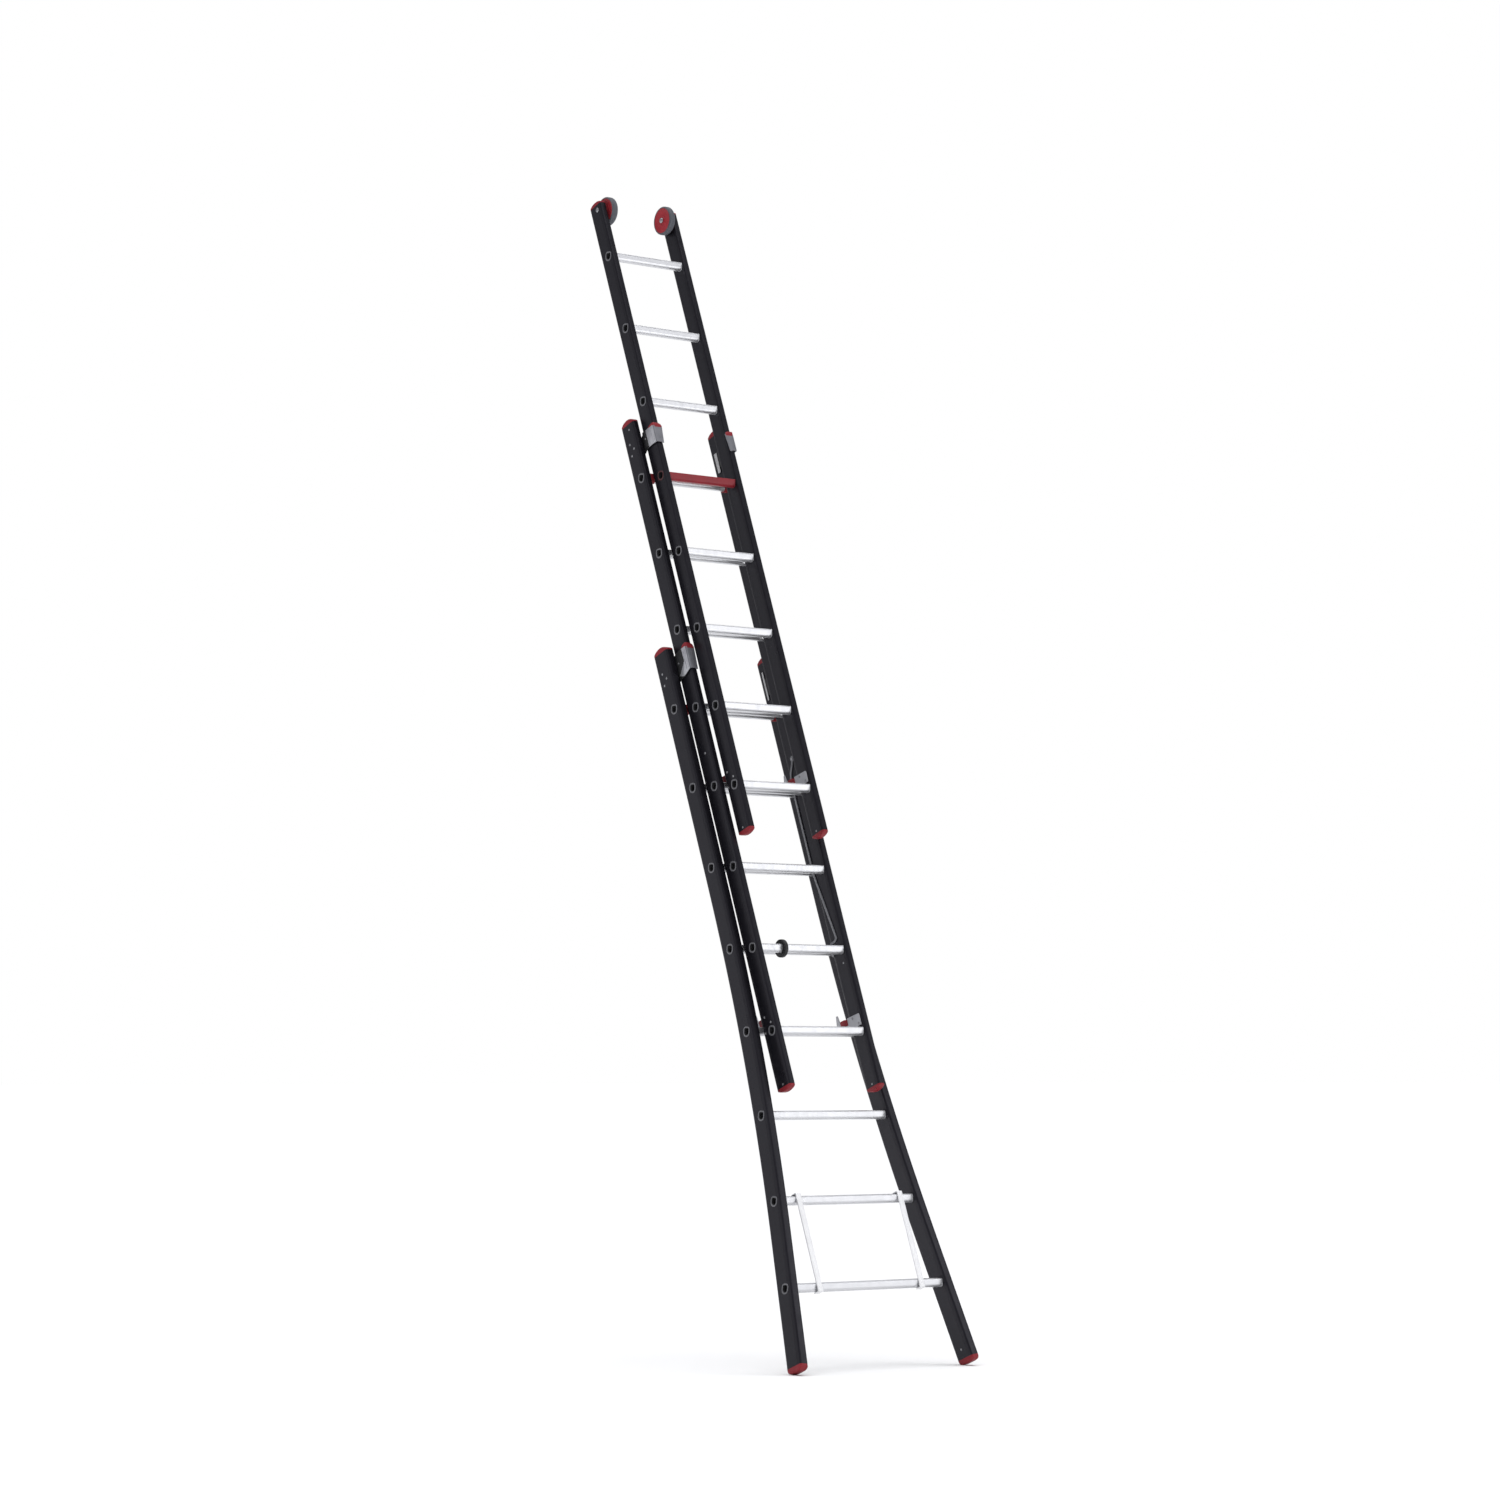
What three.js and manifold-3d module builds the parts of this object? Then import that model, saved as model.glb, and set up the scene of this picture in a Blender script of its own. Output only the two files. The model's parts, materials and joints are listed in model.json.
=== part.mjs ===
// Three-section combination ladder, 3 x 8 rungs, with flared lower stiles,
// set up as a leaning extension ladder. Millimetres, +Z up, wall on the +Y side.
//
// Every section is built in the ladder's own axes inside one tilted group:
//   x  along the rungs, y  up the ladder, z  square to it towards the climber.
// A section's origin is the axis of its lowest rung.

import * as THREE from 'three';
import { mergeVertices } from 'three/addons/utils/BufferGeometryUtils.js';
import Module from 'manifold-3d';

// ---------------------------------------------------------------- dimensions
const LEAN_DEG = 21;            // tilt of the stiles from the vertical
const PITCH = 280;              // rung to rung
const RUNGS = 8;                // rungs per section

// per section: lower, middle, upper
const STILE_T = [31, 25, 25];           // stile tube, across
const STILE_D = [73, 69, 64];           // stile tube, front to back
const STILE_SET = [-6.5, -10, -8];      // stile centre relative to the rung axis, along z
const STILE_R = 7;              // outer corner radius
const STILE_WALL = 2;

const HALF_WIDTH = [228, 192, 162];     // outer face of the stiles: lower, middle, upper
const SECTION_STEP = 64;                // distance between sections, along z
const SECTION_RISE = 819;               // height offset of each section as extended
const TOP_LENGTH = [203, 203, 200];     // tube above the top rung
const BOTTOM_LENGTH = [244, 184, 155];  // tube below the lowest rung

const FLARE_START = 1308;       // the lower stiles bend outwards below this height
const FLARE_END = 172;          // and run straight again below this one
const FLARE_SLOPE = 0.129;      // sideways run per unit length of the straight foot end

const RUNG_HALF = 14;           // rung tube, half of its width and height
const RUNG_R_TOP = 7;           // corner radius along the tread
const RUNG_R_BOTTOM = 11;       // corner radius of the underside
const RUNG_WALL = 1.8;
const RUNG_PROUD = 1.5;         // the flared end stands this far out of the stile
const TREAD = 0.5;              // raised non-slip band between the stiles

const FIT = 0.3;                // gap between fitted pieces
const CAP_PLUG = 16;            // depth of a cap's plug in the tube
const CAP_PLUG_SHORT = 11;      // shorter where the roller axle crosses below it
const CAP_HEIGHT = [18, 18, 13];        // domed head of a cap, per section
const FOOT_HEIGHT = 17;         // thicker head of a foot
const FOOT_WEAR = 3;            // ground flat worn on the foot's rear edge

const PLATE = 2.5;              // guide bracket sheet
const HOOK_PLATE = 3.6;         // rung hook plate
const ROLLER_R = 49;
const ROLLER_WIDTH = 24;
const ROLLER_GAP = 4.5;         // stile to roller
const ROLLER_HEIGHT = 182;      // roller centre above the top rung
const AXLE_R = 5;
const COLLAR_X = -75;           // black collar on the second rung of the middle section
const BRACE_X = 203;            // centre of the flat braces between the two lowest rungs

const CHARCOAL = 0x2a292e;
const ALUMINIUM = 0xd4d5d8;
const GREY_ALUMINIUM = 0x9c9ea4;
const RED = 0x9c2530;
const TYRE_GREY = 0x565860;
const BLACK = 0x17171a;

const lean = THREE.MathUtils.degToRad(LEAN_DEG);
const wasm = await Module();
wasm.setup();

// ---------------------------------------------------------------- helpers
function material(color, roughness, metalness) {
  return new THREE.MeshStandardMaterial({ color, roughness, metalness });
}

// outline of a rectangle with its own radius and point count at each corner
function roundedRect(hx, hy, radii, segs) {
  const corners = [[1, -1, -90], [1, 1, 0], [-1, 1, 90], [-1, -1, 180]];
  const pts = [];
  corners.forEach(([sx, sy, a0], i) => {
    const r = radii[i], n = segs[i];
    for (let k = 0; k <= n; k++) {
      const a = THREE.MathUtils.degToRad(a0 + (90 * k) / n);
      pts.push(new THREE.Vector2(sx * (hx - r) + r * Math.cos(a), sy * (hy - r) + r * Math.sin(a)));
    }
  });
  return pts;
}
const even = (v) => [v, v, v, v];

function extrude(points, depth, { holes = [], steps = 1 } = {}) {
  const shape = new THREE.Shape(points);
  for (const h of holes) shape.holes.push(new THREE.Path([...h].reverse()));
  return new THREE.ExtrudeGeometry(shape, { depth, steps, bevelEnabled: false });
}

// extrusion whose outline lies in (z, y) and whose depth runs along x, from x0 to x1
function sidePlate(outlineZY, x0, x1) {
  const pts = outlineZY.map(([z, y]) => new THREE.Vector2(-z, y));
  const g = extrude(THREE.ShapeUtils.isClockWise(pts) ? pts.reverse() : pts, x1 - x0);
  g.rotateY(Math.PI / 2);       // outline x -> -z, depth -> x
  g.translate(x0, 0, 0);
  return g;
}

function box(x0, x1, y0, y1, z0, z1) {
  const g = new THREE.BoxGeometry(x1 - x0, y1 - y0, z1 - z0);
  g.translate((x0 + x1) / 2, (y0 + y1) / 2, (z0 + z1) / 2);
  return g;
}

function cylinderX(r, x0, x1, y, z, sides = 12) {
  const g = new THREE.CylinderGeometry(r, r, x1 - x0, sides);
  g.rotateZ(Math.PI / 2);
  g.translate((x0 + x1) / 2, y, z);
  return g;
}

function solid(geometry) {
  const g = geometry.index ? geometry.clone() : geometry.clone();
  g.deleteAttribute('normal');
  g.deleteAttribute('uv');
  const m = mergeVertices(g, 1e-4);
  return new wasm.Manifold(new wasm.Mesh({
    numProp: 3,
    vertProperties: new Float32Array(m.attributes.position.array),
    triVerts: new Uint32Array(m.index.array),
  }));
}

function surface(manifold) {
  const mesh = manifold.getMesh();
  const g = new THREE.BufferGeometry();
  const n = mesh.numProp, count = mesh.vertProperties.length / n;
  const pos = new Float32Array(count * 3);
  for (let i = 0; i < count; i++) for (let k = 0; k < 3; k++) pos[i * 3 + k] = mesh.vertProperties[i * n + k];
  g.setAttribute('position', new THREE.BufferAttribute(pos, 3));
  g.setIndex(new THREE.BufferAttribute(new Uint32Array(mesh.triVerts), 1));
  g.computeVertexNormals();
  return g;
}

const join = (...geos) => surface(geos.map(solid).reduce((a, b) => a.add(b)));
function cut(geo, ...tools) {
  let s = solid(geo);
  for (const t of tools) s = s.subtract(solid(t));
  return surface(s);
}

function piece(name, geometry, mat, parent) {
  const mesh = new THREE.Mesh(geometry, mat);
  mesh.name = name;
  parent.add(mesh);
  return mesh;
}

// ---------------------------------------------------------------- ladder path
// sideways run of the lower stiles beyond their straight upper part
function flare(y) {
  const k = FLARE_SLOPE / (2 * (FLARE_START - FLARE_END));
  if (y >= FLARE_START) return 0;
  if (y >= FLARE_END) return k * (FLARE_START - y) ** 2;
  return (FLARE_SLOPE * (FLARE_START - FLARE_END)) / 2 + FLARE_SLOPE * (FLARE_END - y);
}
function flareSlope(y) {
  if (y >= FLARE_START) return 0;
  if (y >= FLARE_END) return (-FLARE_SLOPE * (FLARE_START - y)) / (FLARE_START - FLARE_END);
  return -FLARE_SLOPE;
}
const outerAt = (k, y) => HALF_WIDTH[k] + (k === 0 ? flare(y) : 0);

// carries a shape modelled around x = 0, y = height along the stile onto the real stile
function ontoStile(geometry, k, side) {
  const p = geometry.attributes.position;
  for (let i = 0; i < p.count; i++) {
    const x = p.getX(i), y = p.getY(i);
    const slope = k === 0 ? side * flareSlope(y) : 0;
    const len = Math.hypot(1, slope);
    p.setX(i, side * (outerAt(k, y) - STILE_T[k] / 2) + x / len);
    p.setY(i, y - (x * slope) / len);
  }
  p.needsUpdate = true;
  return geometry;
}

// ---------------------------------------------------------------- rungs
// the tread is level when the ladder leans: outline x faces the climber, outline y is up
const rungBasis = new THREE.Matrix4().makeBasis(
  new THREE.Vector3(0, -Math.sin(lean), Math.cos(lean)),
  new THREE.Vector3(0, Math.cos(lean), Math.sin(lean)),
  new THREE.Vector3(-1, 0, 0),
);
function rungOutline(grow, segTop, segBottom) {
  const h = RUNG_HALF + grow, t = RUNG_R_TOP + grow, b = RUNG_R_BOTTOM + grow;
  return roundedRect(h, h, [b, t, t, b], [segBottom, segTop, segTop, segBottom]);
}
function rungBar(halfLength, y, grow, holes = []) {
  const g = extrude(rungOutline(grow, 2, 3), 2 * halfLength, { holes });
  g.translate(0, 0, -halfLength);
  g.applyMatrix4(rungBasis);
  g.translate(0, y, 0);
  return g;
}
function treadBand(halfLength, y, grow) {
  const w = RUNG_HALF - RUNG_R_TOP + grow;
  const g = new THREE.BoxGeometry(2 * w, TREAD + 0.6 + grow, 2 * halfLength);
  g.translate(0, RUNG_HALF - 0.6 + (TREAD + 0.6 + grow) / 2, 0);
  g.applyMatrix4(rungBasis);
  g.translate(0, y, 0);
  return g;
}
function makeRung(k, n) {
  const y = (n - 1) * PITCH, between = outerAt(k, y) - STILE_T[k] - 6;
  const tube = rungBar(outerAt(k, y) + RUNG_PROUD, y, 0, [rungOutline(-RUNG_WALL, 1, 2)]);
  return join(tube, treadBand(between, y, 0));
}

// ---------------------------------------------------------------- stiles
function makeStile(k, side) {
  const y0 = -BOTTOM_LENGTH[k], y1 = (RUNGS - 1) * PITCH + TOP_LENGTH[k];
  const stations = k === 0
    ? [y0, FLARE_END, 300, 430, 560, 700, 850, 1000, 1150, FLARE_START, y1]
    : [y0, y1];
  const outer = roundedRect(STILE_T[k] / 2, STILE_D[k] / 2, even(STILE_R), even(2));
  const inner = roundedRect(STILE_T[k] / 2 - STILE_WALL, STILE_D[k] / 2 - STILE_WALL, even(STILE_R - STILE_WALL), even(1));
  const steps = stations.length - 1;
  const g = extrude(outer, steps, { holes: [inner], steps });
  g.rotateX(-Math.PI / 2);
  const p = g.attributes.position;
  for (let i = 0; i < p.count; i++) {
    p.setY(i, stations[Math.round(p.getY(i))]);
    p.setZ(i, p.getZ(i) + STILE_SET[k]);
  }
  ontoStile(g, k, side);
  const tools = [];
  for (let n = 1; n <= RUNGS; n++) {
    const y = (n - 1) * PITCH, x = side * (outerAt(k, y) - STILE_T[k] / 2);
    const t = rungBar(STILE_T[k], y, FIT);
    t.translate(x, 0, 0);
    tools.push(t);
  }
  if (k === 2) {
    const x = side * (HALF_WIDTH[2] - STILE_T[2] / 2);
    tools.push(cylinderX(AXLE_R + FIT, x - 20, x + 20, (RUNGS - 1) * PITCH + ROLLER_HEIGHT, 0));
  }
  return cut(g, ...tools);
}

// ---------------------------------------------------------------- caps and feet
// a plug inside the tube and a domed head of the tube's own outline over its end
function makeCap(k, side, end, head) {
  const top = end > 0;
  const depth = top && k === 2 ? CAP_PLUG_SHORT : CAP_PLUG;
  const yEnd = top ? (RUNGS - 1) * PITCH + TOP_LENGTH[k] : -BOTTOM_LENGTH[k];
  const outline = roundedRect(STILE_T[k] / 2, STILE_D[k] / 2, even(STILE_R), even(2));
  const levels = [[0, 1], [0.55, 0.985], [0.85, 0.9], [1, 0.72]];
  const dome = extrude(outline, 3, { steps: 3 });
  const d = dome.attributes.position;
  for (let i = 0; i < d.count; i++) {
    const [h, s] = levels[Math.round(d.getZ(i))];
    d.setXYZ(i, d.getX(i) - (1 - s) * (STILE_T[k] / 2) * Math.sign(d.getX(i)), d.getY(i) - (1 - s) * 20 * Math.sign(d.getY(i)), FIT + h * head);
  }
  const plug = extrude(
    roundedRect(STILE_T[k] / 2 - STILE_WALL - FIT, STILE_D[k] / 2 - STILE_WALL - FIT, even(STILE_R - STILE_WALL), even(1)),
    depth + FIT + 0.6);
  plug.translate(0, 0, -depth);
  const g = join(dome, plug);
  g.rotateX(-Math.PI / 2);                          // head points up the stile
  if (!top) g.rotateX(Math.PI);                     // or down it
  g.translate(0, 0, STILE_SET[k]);
  // square to the stile's end
  const slope = k === 0 && !top ? side * flareSlope(yEnd) : 0;
  g.rotateZ(-Math.atan(slope));
  g.translate(side * (outerAt(k, yEnd) - STILE_T[k] / 2), yEnd, 0);
  return g;
}

// ---------------------------------------------------------------- guide brackets
// riveted on the inner face of a carrying stile, around the next section's stile
function makeGuide(k, side) {
  const x1 = HALF_WIDTH[k] - STILE_T[k] - FIT, x0 = x1 - PLATE;
  const y = (RUNGS - 1) * PITCH;
  const front = SECTION_STEP + STILE_SET[k + 1] + STILE_D[k + 1] / 2 + 2.3;
  const outline = k === 0
    ? [[-32, 84], [14, 84], [34, 94], [58, 94], [70, 108], [front + PLATE, 108], [front + PLATE, 186], [52, 186], [26, 150], [-32, 142]]
    : [[-32, 84], [20, 84], [34, 93], [front + PLATE, 93], [front + PLATE, 154], [34, 156], [20, 146], [-32, 142]];
  const plate = sidePlate(outline, x0, x1);
  const inner = HALF_WIDTH[k + 1] - STILE_T[k + 1] + 0.5;
  const face = box(inner, x1, k === 0 ? 108 : 93, k === 0 ? 186 : 154, front, front + PLATE);
  const g = join(plate, face);
  g.translate(0, y, 0);
  return side > 0 ? g : mirrored(g);
}

function mirrored(g) {
  const p = g.attributes.position, idx = g.index;
  for (let i = 0; i < p.count; i++) p.setX(i, -p.getX(i));
  const a = idx.array;
  for (let i = 0; i < a.length; i += 3) [a[i], a[i + 1]] = [a[i + 1], a[i]];
  g.computeVertexNormals();
  return g;
}

// ---------------------------------------------------------------- rung hooks
// riveted on the inner face of the stile, hanging over a rung of the section behind
function makeHook(k, side) {
  const x1 = HALF_WIDTH[k] - STILE_T[k] - FIT, x0 = x1 - HOOK_PLATE;
  const outline = [
    [14, 19], [14, 57], [-46, 62], [-49, 50.5], [-80, 50.5], [-85, 58], [-91, 88], [-97, 88], [-103, 62],
    [-103, 34], [-96, 21], [-86, 21], [-81.5, 25], [-81.5, 30], [-74, 38.5], [-54, 38.5], [-46.5, 30],
    [-46.5, 8], [-38, 1], [-20, -5], [-18, 19],
  ];
  const g = join(sidePlate(outline, x0, x1));
  return side > 0 ? g : mirrored(g);
}

// ---------------------------------------------------------------- rollers
function ring(profile, segments) {
  const g = new THREE.LatheGeometry([...profile, profile[0]].map(([r, h]) => new THREE.Vector2(r, h)), segments);
  g.rotateZ(-Math.PI / 2);      // lathe axis -> x
  return g;
}
function makeRoller(side) {
  const a = HALF_WIDTH[2] - STILE_T[2] - ROLLER_GAP, b = a - ROLLER_WIDTH, r = ROLLER_R, bore = AXLE_R + FIT;
  const g = ring([[bore, b], [r - 8, b], [r - 2, b + 1.5], [r, b + 5], [r, a - 5], [r - 2, a - 1.5], [r - 8, a], [bore, a]], 28);
  g.translate(0, (RUNGS - 1) * PITCH + ROLLER_HEIGHT, 0);
  return side > 0 ? join(g) : mirrored(join(g));
}
function makeAxle(side) {
  const out = HALF_WIDTH[2] + FIT, inn = HALF_WIDTH[2] - STILE_T[2] - ROLLER_GAP - ROLLER_WIDTH - 0.8;
  const pts = [[0, inn - 4], [6, inn - 4], [9, inn - 2], [9, inn], [AXLE_R, inn], [AXLE_R, out], [8, out], [8, out + 0.8], [5, out + 1.6], [0, out + 1.6]];
  const g = new THREE.LatheGeometry(pts.map(([r, h]) => new THREE.Vector2(r, h)), 14);
  g.rotateZ(-Math.PI / 2);
  g.translate(0, (RUNGS - 1) * PITCH + ROLLER_HEIGHT, 0);
  return side > 0 ? join(g) : mirrored(join(g));
}

// ---------------------------------------------------------------- stay bars
// flat bars pivoted on the middle stiles, stowed behind its rungs with their
// open hook round the second rung
function ribbon(path, half) {
  const left = [], right = [];
  for (let i = 0; i < path.length; i++) {
    const p = new THREE.Vector2(...path[i]);
    const a = i ? new THREE.Vector2(...path[i]).sub(new THREE.Vector2(...path[i - 1])).normalize() : null;
    const b = i < path.length - 1 ? new THREE.Vector2(...path[i + 1]).sub(p).normalize() : null;
    const t = (a && b ? a.clone().add(b) : a || b).normalize();
    const n = new THREE.Vector2(-t.y, t.x);
    const k = half / Math.max(0.5, Math.abs(n.dot(new THREE.Vector2(-(b || a).y, (b || a).x))));
    left.push([p.x + n.x * k, p.y + n.y * k]);
    right.push([p.x - n.x * k, p.y - n.y * k]);
  }
  return [...left, ...right.reverse()];
}
function makeStay(side) {
  const x1 = HALF_WIDTH[1] - STILE_T[1] - FIT, x0 = x1 - 3;
  const h = PITCH;              // second rung of the section
  const path = [[-8, 962 - 4], [-13, 944], [-31, 916], [-39, 890], [-40.5, 560], [-37, 535], [-8, h + 58], [-6, h + 44], [-16, h + 36], [-37, h + 36], [-41, h + 28], [-41, h - 8]];
  const bar = sidePlate(ribbon(path, 4.5), x0, x1);
  const eye = cylinderX(9, x0, x1, 960, -8, 14);
  const g = join(bar, eye);
  return side > 0 ? g : mirrored(g);
}

// ---------------------------------------------------------------- collar and braces
function makeCollar() {
  const disc = cylinderX(29, COLLAR_X - 7, COLLAR_X + 7, PITCH, 0, 24);
  return cut(disc, rungBar(140, PITCH, FIT), treadBand(140, PITCH, FIT));
}
function makeBrace(side) {
  const z0 = 16.5, z1 = 20.5, back = -4;
  const low = -16.4, high = PITCH + 16.4;
  const outline = [[z1, low - 3], [z1, high + 3], [back, high + 3], [back, high], [z0, high], [z0, low], [back, low], [back, low - 3]];
  return join(sidePlate(outline, side * BRACE_X - 10, side * BRACE_X + 10));
}

// ---------------------------------------------------------------- assembly
const ladder = new THREE.Group();
ladder.name = 'combination_ladder';
const frame = new THREE.Group();
frame.rotation.x = Math.PI / 2 - lean;
ladder.add(frame);

const SECTIONS = ['lower', 'middle', 'upper'];
const groups = SECTIONS.map((name, k) => {
  const g = new THREE.Group();
  g.name = `${name}_section`;
  g.position.set(0, k * SECTION_RISE, k * SECTION_STEP);
  frame.add(g);
  return g;
});

const SIDES = [['left', -1], ['right', 1]];
SECTIONS.forEach((name, k) => {
  for (const [sideName, side] of SIDES) {
    piece(`${name}_stile_${sideName}`, makeStile(k, side), material(CHARCOAL, 0.55, 0.25), groups[k]);
    piece(`${name}_top_cap_${sideName}`, makeCap(k, side, 1, CAP_HEIGHT[k]), material(RED, 0.5, 0), groups[k]);
  }
  for (let n = 1; n <= RUNGS; n++) {
    const red = k === 2 && n === 5;
    piece(`${name}_rung_${n}`, makeRung(k, n), red ? material(RED, 0.45, 0.1) : material(ALUMINIUM, 0.35, 0.9), groups[k]);
  }
});

// the lowest point of the feet stands on the ground; its rear edge is worn flat
const ground = [];
for (const [sideName, side] of SIDES) {
  for (const k of [1, 2]) {
    piece(`${SECTIONS[k]}_bottom_cap_${sideName}`, makeCap(k, side, -1, CAP_HEIGHT[2]), material(RED, 0.5, 0), groups[k]);
    piece(`${SECTIONS[k]}_hook_${sideName}`, makeHook(k, side), material(GREY_ALUMINIUM, 0.42, 0.85), groups[k]);
  }
  for (const k of [0, 1]) {
    piece(`${SECTIONS[k]}_guide_${sideName}`, makeGuide(k, side), material(GREY_ALUMINIUM, 0.42, 0.85), groups[k]);
  }
  piece(`stay_bar_${sideName}`, makeStay(side), material(GREY_ALUMINIUM, 0.4, 0.85), groups[1]);
  piece(`rung_brace_${sideName}`, makeBrace(side), material(ALUMINIUM, 0.4, 0.85), groups[0]);
  piece(`wall_roller_${sideName}`, makeRoller(side), material(TYRE_GREY, 0.75, 0), groups[2]);
  piece(`roller_axle_${sideName}`, makeAxle(side), material(ALUMINIUM, 0.3, 0.9), groups[2]);
  ground.push([`lower_foot_${sideName}`, makeCap(0, side, -1, FOOT_HEIGHT)]);
}
piece('rung_collar', makeCollar(), material(BLACK, 0.5, 0), groups[1]);

// height of the ground in the tilted frame, from the uncut feet
const up = new THREE.Vector3(0, Math.cos(lean), Math.sin(lean));
let lowest = Infinity;
for (const [, g] of ground) {
  const p = g.attributes.position;
  for (let i = 0; i < p.count; i++) lowest = Math.min(lowest, p.getY(i) * up.y + p.getZ(i) * up.z);
}
const groundLevel = lowest + FOOT_WEAR;
for (const [name, g] of ground) {
  const slab = new THREE.BoxGeometry(900, 400, 400);
  slab.translate(0, groundLevel - 200, 0);          // top face at the ground, in upright axes
  slab.rotateX(-(Math.PI / 2 - lean) + Math.PI / 2); // upright (x, z up) into the ladder's axes
  piece(name, cut(g, slab), material(RED, 0.6, 0), groups[0]);
}

// origin: on the ground, centred under the whole ladder
ladder.updateMatrixWorld(true);
const bounds = new THREE.Box3();
ladder.traverse((o) => { if (o.isMesh) bounds.expandByObject(o, true); });
const round = (v) => Math.round(v * 1e4) / 1e4;
frame.position.set(0, -round((bounds.min.y + bounds.max.y) / 2), -round(bounds.min.z));
ladder.updateMatrixWorld(true);

export default ladder;
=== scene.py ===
import json
import math

import bmesh
import bpy
from mathutils import Matrix, Vector

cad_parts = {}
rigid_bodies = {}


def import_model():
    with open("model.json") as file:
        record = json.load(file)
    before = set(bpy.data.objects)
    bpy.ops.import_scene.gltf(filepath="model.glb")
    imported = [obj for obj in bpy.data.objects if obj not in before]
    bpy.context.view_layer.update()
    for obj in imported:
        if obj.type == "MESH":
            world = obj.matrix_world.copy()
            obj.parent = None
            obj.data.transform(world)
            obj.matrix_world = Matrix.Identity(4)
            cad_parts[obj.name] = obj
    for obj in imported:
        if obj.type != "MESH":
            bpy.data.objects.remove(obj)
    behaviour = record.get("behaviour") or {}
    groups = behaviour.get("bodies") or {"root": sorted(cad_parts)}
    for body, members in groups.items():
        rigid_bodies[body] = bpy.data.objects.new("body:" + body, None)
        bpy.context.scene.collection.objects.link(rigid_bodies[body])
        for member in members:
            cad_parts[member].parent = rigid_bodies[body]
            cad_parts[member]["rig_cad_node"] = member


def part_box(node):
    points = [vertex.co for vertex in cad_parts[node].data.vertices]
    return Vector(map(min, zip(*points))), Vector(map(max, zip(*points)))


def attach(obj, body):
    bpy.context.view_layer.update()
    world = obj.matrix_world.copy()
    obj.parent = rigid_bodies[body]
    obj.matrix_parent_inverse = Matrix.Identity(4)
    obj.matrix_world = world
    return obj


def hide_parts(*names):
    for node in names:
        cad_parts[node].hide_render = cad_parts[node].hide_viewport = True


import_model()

# the empty start-up scene's own cube, lamp and camera
for o in list(bpy.data.objects):
    if "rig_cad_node" not in o and not o.name.startswith("body:"):
        bpy.data.objects.remove(o, do_unlink=True)
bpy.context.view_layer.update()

# ------------------------------------------------------------------ sizes, mm
LEAN = math.radians(21)
SIN, COS = math.sin(LEAN), math.cos(LEAN)
PITCH, RUNGS = 280, 8
TOP = (RUNGS - 1) * PITCH                 # top rung of a section
STILE_T = (31, 25, 25)                    # stile across, front to back, and its centre along z
STILE_D = (73, 69, 64)
STILE_SET = (-6.5, -10, -8)
STILE_END = (TOP + 203, TOP + 203, TOP + 200)
STILE_FOOT = (-244, -184, -155)
HALF = (228, 192, 162)                    # outer face of the stiles
FLARE_START, FLARE_END, FLARE_SLOPE = 1308, 172, 0.129
RUNG_HALF = 14
SECTIONS = ("lower", "middle", "upper")
BODY = ("lower_section", "middle_section", "upper_section")
SIDES = (("left", -1), ("right", 1))


def flare(y):
    k = FLARE_SLOPE / (2 * (FLARE_START - FLARE_END))
    if y >= FLARE_START:
        return 0.0
    if y >= FLARE_END:
        return k * (FLARE_START - y) ** 2
    return FLARE_SLOPE * (FLARE_START - FLARE_END) / 2 + FLARE_SLOPE * (FLARE_END - y)


def flare_slope(y):
    if y >= FLARE_START:
        return 0.0
    if y >= FLARE_END:
        return -FLARE_SLOPE * (FLARE_START - y) / (FLARE_START - FLARE_END)
    return -FLARE_SLOPE


def outer_at(k, y):
    return HALF[k] + (flare(y) if k == 0 else 0.0)


# section axes (x along the rungs, y up the ladder, z to the climber; mm) -> row frame (m)
PLACE = []
for k, name in enumerate(SECTIONS):
    lo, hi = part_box(f"{name}_rung_1")
    PLACE.append(Matrix((
        (0.001, 0, 0, 0),
        (0, 0.001 * SIN, -0.001 * COS, (lo.y + hi.y) / 2),
        (0, 0.001 * COS, 0.001 * SIN, lo.z + 0.001 * RUNG_HALF),
        (0, 0, 0, 1))))

# ------------------------------------------------------------------ mesh helpers


def emit(name, bm, k, mat, body=None, replaces=(), angle=32.0, mirror=False):
    """Turns a mesh modelled in section axes into an object of the row frame, riding its body."""
    if mirror:
        bm.transform(Matrix.Diagonal((-1, 1, 1, 1)))
    bm.transform(PLACE[k])
    bmesh.ops.remove_doubles(bm, verts=bm.verts, dist=1e-7)
    bmesh.ops.recalc_face_normals(bm, faces=bm.faces)
    me = bpy.data.meshes.new(name)
    bm.to_mesh(me)
    bm.free()
    me.shade_smooth()
    me.set_sharp_from_angle(angle=math.radians(angle))
    me.materials.append(mat)
    ob = bpy.data.objects.new(name, me)
    bpy.context.scene.collection.objects.link(ob)
    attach(ob, body or BODY[k])
    if replaces:
        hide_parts(*replaces)
    return ob


def add_mesh(bm, other):
    """Adds the geometry of another bmesh."""
    me = bpy.data.meshes.new("part")
    other.to_mesh(me)
    other.free()
    bm.from_mesh(me)
    bpy.data.meshes.remove(me)
    return bm


def loft(bm, rings, caps=False, closed=False):
    """Skins a list of rings with the same number of points."""
    rows = [[bm.verts.new(p) for p in ring] for ring in rings]
    n = len(rows[0])
    pairs = list(zip(rows, rows[1:]))
    if closed:
        pairs.append((rows[-1], rows[0]))
    for a, b in pairs:
        for i in range(n):
            j = (i + 1) % n
            bm.faces.new((a[i], a[j], b[j], b[i]))
    if caps:
        bm.faces.new(list(reversed(rows[0])))
        bm.faces.new(rows[-1])
    return rows


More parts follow.
